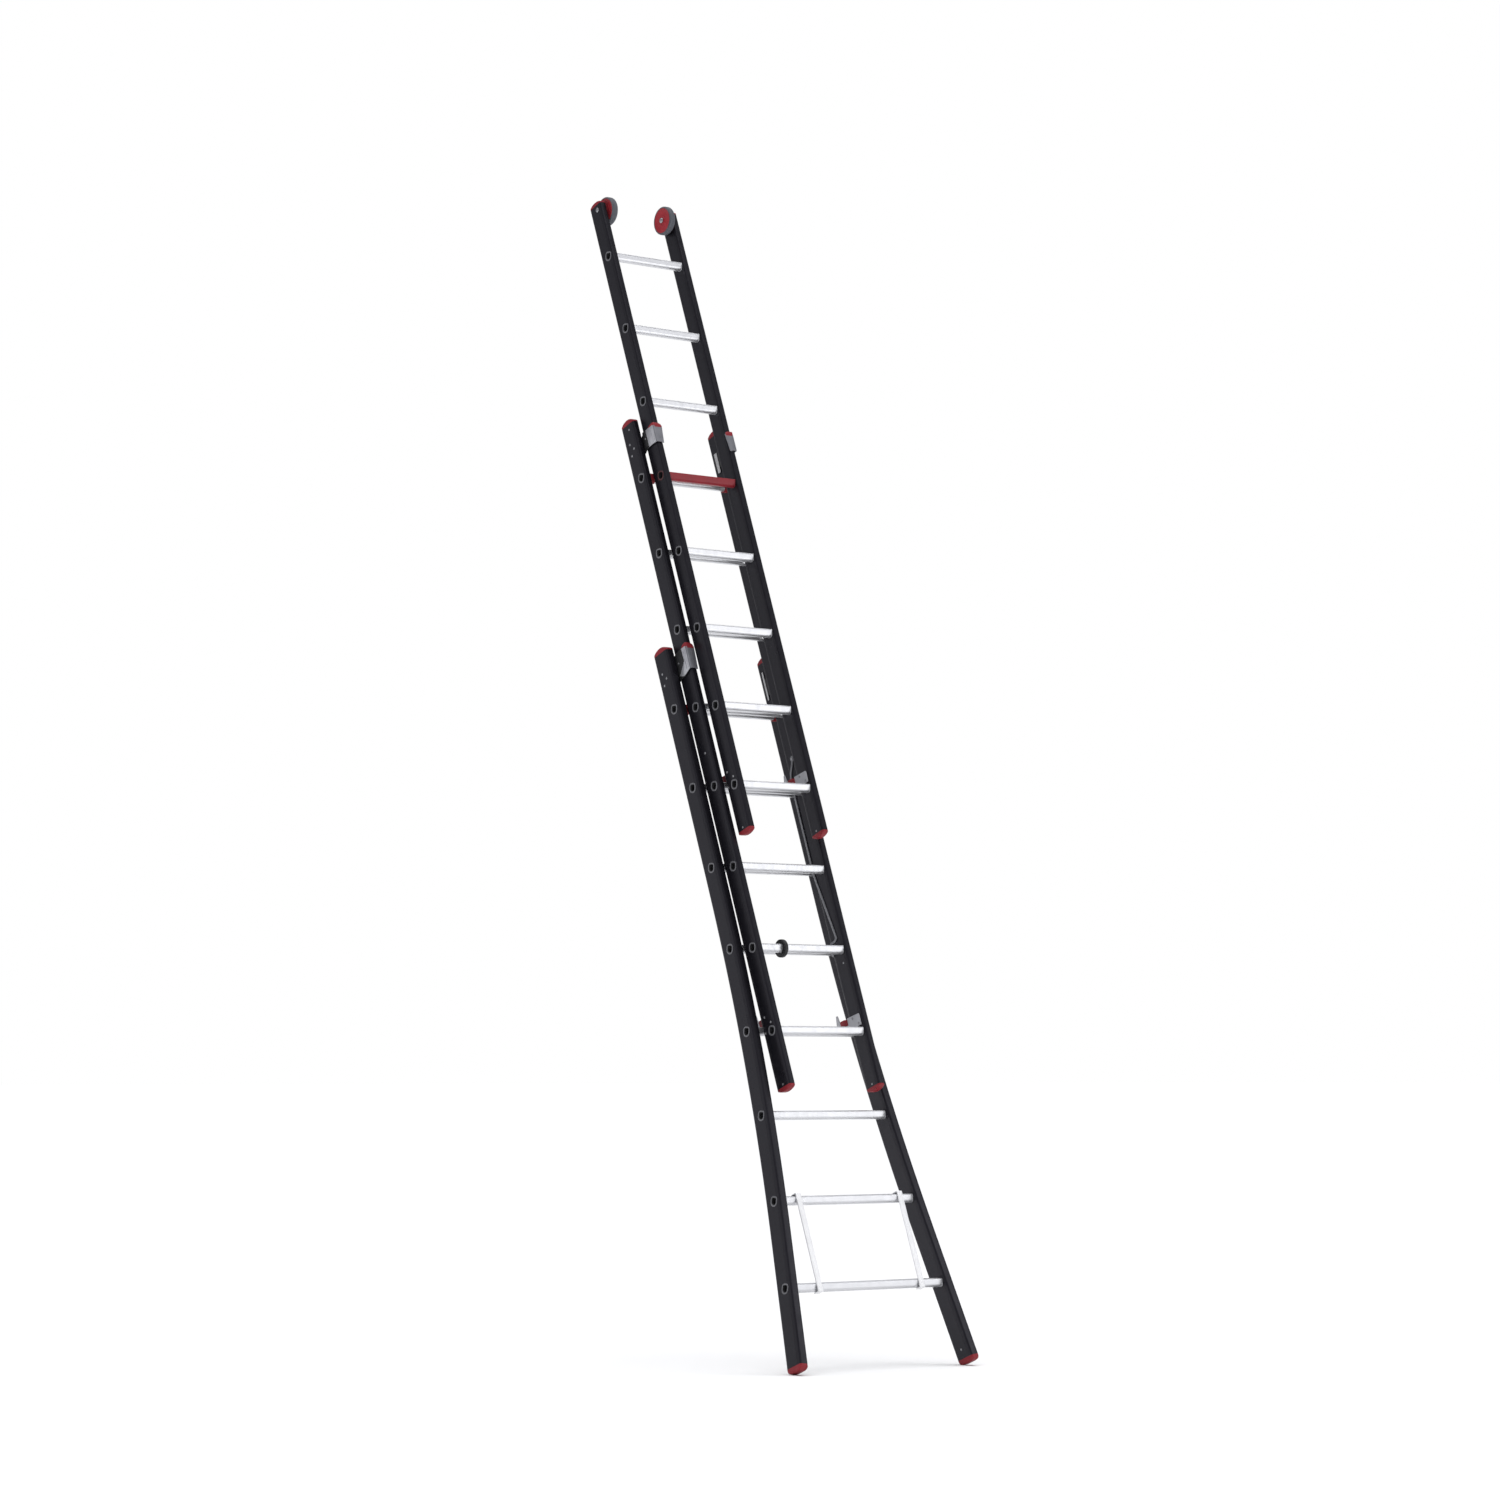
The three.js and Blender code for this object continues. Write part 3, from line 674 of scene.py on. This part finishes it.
def build_cap(k, side, top, head, world_floor=None):
    """A lens-shaped head: a cylinder segment along the depth, soft across."""
    y_end = STILE_END[k] if top else STILE_FOOT[k]
    wall = 4.0 if world_floor is None else 1.0
    bow = head - wall
    edge = STILE_D[k] / 2
    radius = (edge ** 2 + bow ** 2) / (2 * bow)
    zs = [-edge + 2 * edge * (0.5 - 0.5 * math.cos(math.pi * i / 28)) for i in range(29)]
    ss = [-1 + 2 * j / 14 for j in range(15)]
    lip = 0.9
    bm = bmesh.new()
    grid = []
    for z in zs:
        a = half_thickness(k, z) + 0.1
        hz = wall + math.sqrt(max(0.0, radius ** 2 - z * z)) - (radius - bow)
        if world_floor is not None:                 # a foot is fuller towards its edges
            hz = head * max(0.0, 1 - abs(z / (edge + 0.05)) ** 4.5) ** 0.5
        row = []
        for s in ss:
            t = math.sin(s * math.pi / 2)
            drop = max(0.0, 1 - abs(t) ** 7) ** (1 / 5)
            row.append(bm.verts.new((a * t, 0.3 + lip + (hz - lip * 0.2) * drop if hz > 0.3 else 0.3 + lip, z)))
        grid.append(row)
    for r0, r1 in zip(grid, grid[1:]):
        for i in range(len(ss) - 1):
            bm.faces.new((r0[i], r0[i + 1], r1[i + 1], r1[i]))
    border = [r[0] for r in grid] + grid[-1][1:] + [r[-1] for r in reversed(grid[:-1])] + list(reversed(grid[0][1:-1]))
    low = [bm.verts.new((v.co.x, 0.3, v.co.z)) for v in border]
    n = len(border)
    for i in range(n):
        j = (i + 1) % n
        bm.faces.new((border[i], border[j], low[j], low[i]))
    bm.faces.new(low)
    # a collar of the same plastic inside the tube, seen as a thin line at the joint
    ring = [(v.co.x * 0.86, v.co.z * 0.93) for v in low]
    plug = bmesh.new()
    loft(plug, [[(x, h, z) for x, z in ring] for h in (-1.5, 0.4)], caps=True)
    add_mesh(bm, plug)
    if not top:
        bm.transform(Matrix.Rotation(math.pi, 4, "X"))
    bm.transform(Matrix.Translation((0, 0, STILE_SET[k])))
    slope = side * flare_slope(y_end) if (k == 0 and not top) else 0.0
    bm.transform(Matrix.Rotation(-math.atan(slope), 4, "Z"))
    bm.transform(Matrix.Translation((side * (outer_at(k, y_end) - STILE_T[k] / 2), y_end, 0)))
    if world_floor is not None:                     # the worn flat standing on the ground
        inv = PLACE[k].inverted()
        co = inv @ Vector((0, 0, world_floor))
        no = (inv.to_3x3() @ Vector((0, 0, 1))).normalized()
        geom = list(bm.verts) + list(bm.edges) + list(bm.faces)
        res = bmesh.ops.bisect_plane(bm, geom=geom, plane_co=co, plane_no=no, clear_inner=True, dist=1e-5)
        edges = [e for e in res["geom_cut"] if isinstance(e, bmesh.types.BMEdge)]
        bmesh.ops.holes_fill(bm, edges=edges)
    return bm


for side_name, side in SIDES:
    for k, name in enumerate(SECTIONS):
        emit(f"{name}_top_cap_{side_name}_head", build_cap(k, side, True, (18.8, 18.8, 13.8)[k]), k, RED,
             replaces=[f"{name}_top_cap_{side_name}"], angle=50)
    for k in (1, 2):
        emit(f"{SECTIONS[k]}_bottom_cap_{side_name}_head", build_cap(k, side, False, 13.6), k, RED,
             replaces=[f"{SECTIONS[k]}_bottom_cap_{side_name}"], angle=50)
    emit(f"lower_foot_{side_name}_head", build_cap(0, side, False, 17.0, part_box(f"lower_foot_{side_name}")[0].z), 0,
         RED, replaces=[f"lower_foot_{side_name}"], angle=50)

# ------------------------------------------------------------------ guide brackets
GUIDE = (
    dict(outline=[(-32, 84), (14, 84), (34, 94), (58, 94), (70, 108), (88, 108), (88, 186), (52, 186), (26, 150), (-32, 142)],
         flange=(108, 186),
         pad=[(24.5, 101), (24.5, 178), (44, 184), (66, 187), (68, 143), (48, 124), (32, 106)],
         skin=[(67, 187.2), (69.5, 143), (49, 123), (31.5, 105), (51, 96.5), (60, 97), (89, 107.6), (89, 187.2)],
         top=(186, 13.5, 69), bottom=None),
    dict(outline=[(-32, 84), (20, 84), (34, 93), (88, 93), (88, 154), (34, 156), (20, 146), (-32, 142)],
         flange=(93, 154),
         pad=[(29.9, 99), (29.9, 155.6), (47.5, 156), (47.5, 97)],   # stays in front of the lower flange
         skin=[(48.5, 156), (48.5, 94), (89, 93.4), (89, 155)],
         top=(154, 10.5, 62), bottom=None),
)


def l_path(x_out, z_side, z_front, x_in, bend, steps=6):
    """The bent sheet's middle line, from the side (z_side) round the corner to x_in: list of (x, z)."""
    pts = [(x_out, z_side), (x_out, z_front - bend)]
    for i in range(1, steps + 1):
        a = math.radians(90 * i / steps)
        pts.append((x_out - bend + bend * math.cos(a), z_front - bend + bend * math.sin(a)))
    pts.append((x_in, z_front))
    return pts


def offset_path(path, d):
    out = []
    for i, p in enumerate(path):
        p = Vector(p)
        t = Vector((0, 0))
        if i > 0:
            t += (p - Vector(path[i - 1])).normalized()
        if i < len(path) - 1:
            t += (Vector(path[i + 1]) - p).normalized()
        t.normalize()
        out.append((p.x + t.y * d, p.y - t.x * d))
    return out


def bent_sheet(bm, path, thick, y0, y1, reach=0.0, edge=0.4):
    """reach: how much further the free end goes at the top than at the bottom."""
    def section(extra):
        way = path[:-1] + [(path[-1][0] - extra, path[-1][1])]
        ring = offset_path(way, thick / 2) + list(reversed(offset_path(way, -thick / 2)))
        return ring, inset(ring, edge)
    (ring, small), (ring_top, small_top) = section(0.0), section(reach)
    rows = []
    for y, o in ((y0, small), (y0 + edge, ring), (y1 - edge, ring_top), (y1, small_top)):
        rows.append([(x, y, z) for x, z in o])
    loft(bm, rows, caps=True)
    return bm


def arched_liner(bm, path, thick, base, rise, samples=26):
    """A thin liner following the path, whose free edge rises in an arch from the bracket's edge at base."""
    seg = [0.0]
    for a, b in zip(path, path[1:]):
        seg.append(seg[-1] + (Vector(b) - Vector(a)).length)
    total = seg[-1]

    def at(s):
        for i in range(len(path) - 1):
            if s <= seg[i + 1] or i == len(path) - 2:
                f = (s - seg[i]) / max(1e-6, seg[i + 1] - seg[i])
                a, b = Vector(path[i]), Vector(path[i + 1])
                p = a.lerp(b, min(1, f))
                t = (b - a).normalized()
                return p, Vector((t.y, -t.x))
    rows = []
    for i in range(samples + 1):
        s = total * i / samples
        p, nrm = at(s)
        f = 2 * i / samples - 1
        h = rise * max(0.06, math.sqrt(max(0.0, 1 - abs(f) ** 3.6)))
        w = thick / 2
        sec = [(w, -6.0 if rise > 0 else 6.0), (w, h * 0.80), (w * 0.72, h * 0.94), (w * 0.25, h), (-w * 0.25, h),
               (-w * 0.72, h * 0.94), (-w, h * 0.80), (-w, -6.0 if rise > 0 else 6.0)]
        rows.append([(p.x + nrm.x * d, base + hh, p.y + nrm.y * d) for d, hh in sec])
    loft(bm, rows, caps=True)
    return bm


for k in (0, 1):
    g = GUIDE[k]
    x1 = HALF[k] - STILE_T[k] - 0.3
    x0 = x1 - 2.5
    f0, f1 = g["flange"]
    z_front = 64 + STILE_SET[k + 1] + STILE_D[k + 1] / 2 + 2.3 + 1.25
    x_in = HALF[k + 1] - STILE_T[k + 1] + 0.8
    for side_name, side in SIDES:
        bm = bmesh.new()
        cut_at = 80.0
        flat = [(min(z, cut_at), y + TOP) for z, y in g["outline"]]
        plate_x(bm, fillet(flat, 3.0), x0, x1, 0.4)
        emit(f"{SECTIONS[k]}_guide_{side_name}_plate", bm, k, BLACK, mirror=side < 0,
             replaces=[f"{SECTIONS[k]}_guide_{side_name}"], angle=35)
        bm = bmesh.new()
        path = l_path((x0 + x1) / 2, cut_at - 1.0, z_front, x_in, 3.2)
        bent_sheet(bm, path, 2.46, f0 + TOP, f1 + TOP, (3.6, 6.0)[k])
        # lip at the lower inner corner of the flange
        lip = bmesh.new()
        rounded_box(lip, x_in, x_in + 9, f0 + TOP - 3.5, f0 + TOP + 6, z_front - 1.2, z_front + 1.2, 1.0, 0.4)
        add_mesh(bm, lip)
        emit(f"{SECTIONS[k]}_guide_{side_name}_flange", bm, k, FLANGE_GREY, mirror=side < 0, angle=35)
        # facing over the side of the bracket, with a pressed rib
        bm = bmesh.new()
        plate_x(bm, fillet([(z, y + TOP) for z, y in g["skin"]], 2.0), x1 + 0.1, x1 + 1.9, 0.5)
        for z_rib in (74.5, 84.0):
            rib = bmesh.new()
            rounded_box(rib, x1 + 1.0, x1 + 3.4, f0 + TOP + 5, f1 + TOP - 5, z_rib - 1.5, z_rib + 1.5, 1.2, 0.7)
            add_mesh(bm, rib)
        emit(f"{SECTIONS[k]}_guide_{side_name}_facing", bm, k, GREY, mirror=side < 0, angle=35)
        # black plate over the dark bridging zone in front of the carrying stile
        bm = bmesh.new()
        plate_x(bm, fillet([(z, y + TOP) for z, y in g["pad"]], 2.0), x1 + 0.1, x1 + 3.0, 0.6)
        spot = bmesh.new()
        rivet(spot, x1 + 3.0, TOP + (147 if k == 0 else 128), 40, 3.0, 0.8)
        emit(f"{SECTIONS[k]}_guide_{side_name}_pad", bm, k, BLACK, mirror=side < 0, angle=35)
        emit(f"{SECTIONS[k]}_guide_{side_name}_pad_pin", spot, k, RIVET, mirror=side < 0, angle=40)
        # red plastic liner between the bracket and the sliding stile
        bm = bmesh.new()
        base, rise, z_from = g["top"]
        liner = l_path((x0 + x1) / 2, z_from, z_front - 0.2, x_in - (2.4, 4.6)[k], 3.4)
        arched_liner(bm, liner, 3.0, base + TOP + 0.1, rise)
        if g["bottom"]:
            base, rise, z_from = g["bottom"]
            extra = bmesh.new()
            liner = l_path((x0 + x1) / 2, z_from, z_front - 0.2, x_in + 1.0, 3.4)
            arched_liner(extra, liner, 3.0, base + TOP - 0.1, -rise)
            add_mesh(bm, extra)
        slip = bmesh.new()
        rounded_box(slip, x_in + 1.0, x0 - 1.5, f0 + TOP + 1, f1 + TOP - 1, z_front - 3.2, z_front - 1.3, 0.8, 0.4)
        add_mesh(bm, slip)
        emit(f"{SECTIONS[k]}_guide_{side_name}_liner", bm, k, RED, mirror=side < 0, angle=40)

# ------------------------------------------------------------------ rung hooks
HOOK = [(14, 19), (14, 57), (-46, 62), (-49, 50.5), (-80, 50.5), (-85, 58), (-91, 88), (-97, 88), (-103, 62),
        (-103, 34), (-96, 21), (-86, 21), (-81.5, 25), (-81.5, 30), (-74, 38.5), (-54, 38.5), (-46.5, 30),
        (-46.5, 8), (-38, 1), (-20, -5), (-18, 19)]
HOOK_LINER = [(-47.6, 34), (-48.2, 60.5), (-60, 64.5), (-84.5, 66.5), (-87.5, 60), (-84, 50), (-80.8, 31), (-74, 39), (-54, 39)]
for k in (1, 2):
    x1 = HALF[k] - STILE_T[k] - 0.3
    x0 = x1 - 3.6
    for side_name, side in SIDES:
        bm = bmesh.new()
        plate_x(bm, fillet(HOOK, [4, 4, 2, 2, 3, 6, 3, 3, 6, 6, 4, 3, 2, 4, 5, 5, 7, 4, 5, 5, 3]), x0, x1, 0.6)
        emit(f"{SECTIONS[k]}_hook_{side_name}_plate", bm, k, GREY, mirror=side < 0,
             replaces=[f"{SECTIONS[k]}_hook_{side_name}"], angle=35)
        bm = bmesh.new()
        plate_x(bm, fillet([(-47.8, 39.2), (-48.6, 58), (-60, 61.5), (-79, 63), (-82.5, 57), (-79.5, 39.2)], 2.5),
                x0 - 2.6, x1 + 2.4, 1.0)
        emit(f"{SECTIONS[k]}_hook_{side_name}_liner", bm, k, RED, mirror=side < 0, angle=40)

# ------------------------------------------------------------------ wall rollers
ROLLER_Y, ROLLER_A, ROLLER_B = TOP + 182, 132.5, 108.5      # centre height; outer and inner side faces
for side_name, side in SIDES:
    a, b = ROLLER_A, ROLLER_B
    bm = bmesh.new()
    lathe_x(bm, [(43.0, b + 1.2), (44.6, b + 0.3), (46.4, b + 0.9), (47.8, b + 2.4), (48.7, b + 4.4), (49.0, b + 7.0), (49.0, b + 11.2),
                 (48.6, b + 11.6), (48.6, b + 12.4), (49.0, b + 12.8), (49.0, a - 7.0), (48.7, a - 4.4), (47.8, a - 2.4),
                 (46.4, a - 0.9), (44.6, a - 0.3), (43.0, a - 1.2)], ROLLER_Y, 0, 96)
    emit(f"wall_roller_{side_name}_tyre", bm, 2, TYRE, body=f"roller_{side_name}",
         replaces=[f"wall_roller_{side_name}"], mirror=side < 0, angle=40)
    bm = bmesh.new()
    lathe_x(bm, [(5.4, b + 0.4), (11.5, b + 0.4), (12.5, b + 1.4), (13.2, b + 2.6), (30, b + 3.2), (36, b + 2.4), (39.5, b + 0.9),
                 (42.2, b + 0.7), (43.4, b + 1.6), (43.4, a - 1.6), (42.2, a - 0.7), (39.5, a - 0.9), (36, a - 2.4),
                 (30, a - 3.2), (13.2, a - 2.6), (12.5, a - 1.4), (11.5, a - 0.4), (5.4, a - 0.4)], ROLLER_Y, 0, 80)
    emit(f"wall_roller_{side_name}_hub", bm, 2, RED_HUB, body=f"roller_{side_name}", mirror=side < 0, angle=40)
    bm = bmesh.new()
    inn, out = ROLLER_B - 0.8, HALF[2] + 0.3
    lathe_x(bm, [(0, inn - 4), (4.5, inn - 4), (6.4, inn - 3.7), (8.2, inn - 2.7), (9, inn - 1.6), (9, inn - 0.2), (8.8, inn),
                 (5, inn), (5, out), (7.6, out), (8, out + 0.3), (7.7, out + 0.7), (6, out + 1.25), (3.5, out + 1.55), (0, out + 1.6)],
            ROLLER_Y, 0, 40, closed=False)
    emit(f"roller_axle_{side_name}_pin", bm, 2, BRIGHT, replaces=[f"roller_axle_{side_name}"],
         mirror=side < 0, angle=40)

# ------------------------------------------------------------------ stay bars


def ribbon(path, half):
    left, right = [], []
    for i, q in enumerate(path):
        p = Vector(q)
        a = (p - Vector(path[i - 1])).normalized() if i else None
        b = (Vector(path[i + 1]) - p).normalized() if i < len(path) - 1 else None
        t = ((a + b) if a is not None and b is not None else (a or b)).normalized()
        n = Vector((-t.y, t.x))
        ref = b or a
        k = half / max(0.5, abs(n.dot(Vector((-ref.y, ref.x)))))
        left.append((p.x + n.x * k, p.y + n.y * k))
        right.append((p.x - n.x * k, p.y - n.y * k))
    return left + list(reversed(right))


STAY = [(-8, 958), (-13, 944), (-31, 916), (-39, 890), (-40.5, 560), (-37, 535), (-8, 338), (-6, 324), (-16, 316),
        (-37, 316), (-41, 308), (-41, 272)]
for side_name, side in SIDES:
    x1 = HALF[1] - STILE_T[1] - 0.3
    x0 = x1 - 3
    bm = bmesh.new()
    plate_x(bm, fillet(ribbon(STAY, 4), 3.0, 3), x0, x1, 0.5)
    eye = bmesh.new()
    lathe_x(eye, [(0, x0 - 0.05), (8.3, x0 - 0.05), (9, x0 + 0.6), (9, x1 - 0.6), (8.3, x1 + 0.05), (0, x1 + 0.05)], 960, -8, 36, closed=False)
    add_mesh(bm, eye)
    emit(f"stay_bar_{side_name}_strip", bm, 1, STAY_GREY, replaces=[f"stay_bar_{side_name}"],
         mirror=side < 0, angle=35)

# ------------------------------------------------------------------ collar, braces, sleeves
bm = bmesh.new()
N = 96
inner = rung_outline(0.45, 0.5)
outline = []
for i in range(N):                                   # the rung's outline, resampled by angle
    a = 2 * math.pi * i / N
    d = Vector((math.cos(a), math.sin(a)))
    best = 0.0
    m = len(inner)
    for j in range(m):
        p, q = Vector(inner[j]), Vector(inner[(j + 1) % m])
        e = q - p
        det = d.x * (-e.y) + d.y * e.x
        if abs(det) < 1e-9:
            continue
        t = (p.x * (-e.y) + p.y * e.x) / det
        u = (d.x * p.y - d.y * p.x) / det
        if t > 0 and -1e-6 <= u <= 1 + 1e-6:
            best = max(best, t)
    outline.append((a, best))
rows = []
for x, r in ((-82, None), (-82, 20.5), (-81.2, 21.5), (-81.2, 25.0), (-81.8, 26.2), (-81.5, 27.8), (-80.4, 28.8), (-78.5, 29.0),
             (-71.5, 29.0), (-69.6, 28.8), (-68.5, 27.8), (-68.2, 26.2), (-68.8, 25.0), (-68.8, 21.5), (-68, 20.5), (-68, None)):
    row = []
    for a, rin in outline:
        rr = rin if r is None else max(r, rin)
        u, v = rr * math.cos(a), rr * math.sin(a)
        row.append((x, PITCH - SIN * u + COS * v, COS * u + SIN * v))
    rows.append(row)
loft(bm, rows, closed=True)
emit("rung_collar_disc", bm, 1, BLACK, replaces=["rung_collar"], angle=40)

for side_name, side in SIDES:
    z0, z1, back, low, high = 16.5, 20.5, -4, -16.4, PITCH + 16.4
    outline = fillet([(z1, low - 3), (z1, high + 3), (back, high + 3), (back, high), (z0, high), (z0, low), (back, low), (back, low - 3)],
                     [3.2, 3.2, 1.2, 1.2, 0.8, 0.8, 1.2, 1.2], 4)
    bm = bmesh.new()
    plate_x(bm, outline, 193, 213, 0.7)
    for y in (low + 14, high - 14):
        pin = bmesh.new()
        bmesh.ops.create_uvsphere(pin, u_segments=16, v_segments=8, radius=3.4,
                                  matrix=Matrix.Translation((203, y, z1)) @ Matrix.Diagonal((1, 1, 0.3, 1)))
        add_mesh(bm, pin)
    emit(f"rung_brace_{side_name}_strip", bm, 0, PALE, replaces=[f"rung_brace_{side_name}"],
         mirror=side < 0, angle=35)

for k in (0, 1):
    for side_name, side in SIDES:
        x1 = HALF[k] - STILE_T[k] - 2.6
        x0 = x1 - 19
        bm = bmesh.new()
        rows = []
        for x, g in ((x0, 0.7), (x0, 2.2), (x0 + 0.6, 2.9), (x0 + 1.6, 3.1), (x1 - 1.6, 3.1), (x1 - 0.6, 2.9), (x1, 2.2), (x1, 0.7)):
            row = rung_points(rung_outline(g, 0.0), TOP, lambda y, x=x: x)
            # flattened where the next section's stile passes
            rows.append([(px, py, min(pz, 19.0)) for px, py, pz in row] if k == 0 else row)
        loft(bm, rows, closed=True)
        emit(f"{SECTIONS[k]}_top_rung_sleeve_{side_name}", bm, k, RED, mirror=side < 0, angle=40)

# ------------------------------------------------------------------ rivets and labels
for k, name in enumerate(SECTIONS):
    for side_name, side in SIDES:
        bm = bmesh.new()
        xo = HALF[k]
        if k < 2:
            for y, z in ((TOP + 134, -18), (TOP + 112, -1.5), (TOP + 93, -20)):
                rivet(bm, xo, y, z, 3.9, 1.2)
        if k > 0:
            for y, z in ((52, -21), (27, 4), (2, -33)):
                rivet(bm, xo - (0.35 if abs(z + 8) > 19 else 0), y, z, 3.9, 1.2)
                if y > 10:
                    rivet(bm, HALF[k] - STILE_T[k] - 3.9, y, z, 4.4, 1.1, -1)
            yb = STILE_FOOT[k] + 8
            rivet(bm, xo, yb, -8, 3.4, 0.9)
            rivet(bm, xo - STILE_T[k], yb, -8, 3.4, 0.9, -1)
        if k == 1:
            rivet(bm, xo, 959, -6, 4.2, 1.2)
            rivet(bm, HALF[k] - STILE_T[k] - 3.35, 960, -8, 5.0, 1.4, -1)
            rivet(bm, xo - STILE_T[k], 236, -3, 3.2, 0.9, -1)
            rivet(bm, xo, TOP + 184, -4, 3.6, 1.0)
        if k == 0:
            y = STILE_FOOT[0] + 26
            rivet(bm, outer_at(0, y) - STILE_T[0] - 0.2, y, -8, 3.6, 1.3, -1)
        emit(f"{name}_rivets_{side_name}", bm, k, RIVET, mirror=side < 0, angle=60)

bm = bmesh.new()
rounded_box(bm, 163.85, 164.15, TOP + 67, TOP + 140, -25, -11, 1.5, 0.1)
emit("middle_label", bm, 1, LABEL, angle=40)
bm = bmesh.new()
rounded_box(bm, 193.85, 194.15, TOP + 69, TOP + 171, -24, -17, 1.5, 0.1)
emit("lower_label", bm, 0, LABEL, angle=40)

# ------------------------------------------------------------------ stage, light, camera
scene = bpy.context.scene
floor_mesh = bpy.data.meshes.new("floor")
floor_mesh.from_pydata([(-300, -300, -0.0005), (300, -300, -0.0005), (300, 300, -0.0005), (-300, 300, -0.0005)], [], [(0, 1, 2, 3)])
floor = bpy.data.objects.new("floor", floor_mesh)
scene.collection.objects.link(floor)
fm, nt, s = new_material("studio_floor")
s.inputs["Base Color"].default_value = (0.86, 0.86, 0.86, 1)
s.inputs["Roughness"].default_value = 0.9
s.inputs["Specular IOR Level"].default_value = 0.0
floor_mesh.materials.append(fm)


def light(name, kind, energy, location, target, **props):
    data = bpy.data.lights.new(name, kind)
    data.energy = energy
    for key, v in props.items():
        setattr(data, key, v)
    ob = bpy.data.objects.new(name, data)
    ob.location = location
    ob.rotation_mode = "QUATERNION"
    ob.rotation_quaternion = (Vector(target) - Vector(location)).to_track_quat("-Z", "Y")
    scene.collection.objects.link(ob)
    ob.visible_camera = False
    return ob


light("overhead", "SUN", 2.7, (0, 0, 10), (0, 0, 0), angle=math.radians(70))
light("left_box", "AREA", 52, (-7.5, 1.5, 2.2), (0, 0, 1.9), shape="RECTANGLE", size=5, size_y=5)
light("back_left_panel", "AREA", 14, (-5.2, 6.8, 2.2), (0, 0, 2.0), shape="RECTANGLE", size=3.2, size_y=6.0)
light("front_panel", "AREA", 175, (4.9, -6.8, 2.4), (0, 0, 2.2), shape="RECTANGLE", size=4.5, size_y=6.5)

world = bpy.data.worlds.new("studio")
scene.world = world
world.use_nodes = True
wn = world.node_tree
back = next(n for n in wn.nodes if n.type == "BACKGROUND")
back.inputs["Color"].default_value = (0.93, 0.94, 1.0, 1)       # what lights the ladder
back.inputs["Strength"].default_value = 0.36
white = wn.nodes.new("ShaderNodeBackground")                    # what the camera sees behind it
white.inputs["Color"].default_value = (1, 1, 1, 1)
white.inputs["Strength"].default_value = 1.0
path = wn.nodes.new("ShaderNodeLightPath")
both = wn.nodes.new("ShaderNodeMixShader")
wn.links.new(path.outputs["Is Camera Ray"], both.inputs[0])
wn.links.new(back.outputs[0], both.inputs[1])
wn.links.new(white.outputs[0], both.inputs[2])
wn.links.new(both.outputs[0], next(n for n in wn.nodes if n.type == "OUTPUT_WORLD").inputs["Surface"])

scene.view_settings.view_transform = "Standard"
scene.view_settings.look = "None"
scene.view_settings.exposure = 0.0
scene.view_settings.gamma = 1.0

cam_data = bpy.data.cameras.new("camera")
cam_data.sensor_width = 36
cam_data.lens = 93.998
cam_data.clip_start, cam_data.clip_end = 0.1, 1000
cam = bpy.data.objects.new("camera", cam_data)
cam.location = (-7.72973, -10.04821, 0.90260)
cam.rotation_mode = "QUATERNION"
cam.rotation_quaternion = (0.6412009, 0.6966789, -0.2366987, -0.2178845)
scene.collection.objects.link(cam)
scene.camera = cam
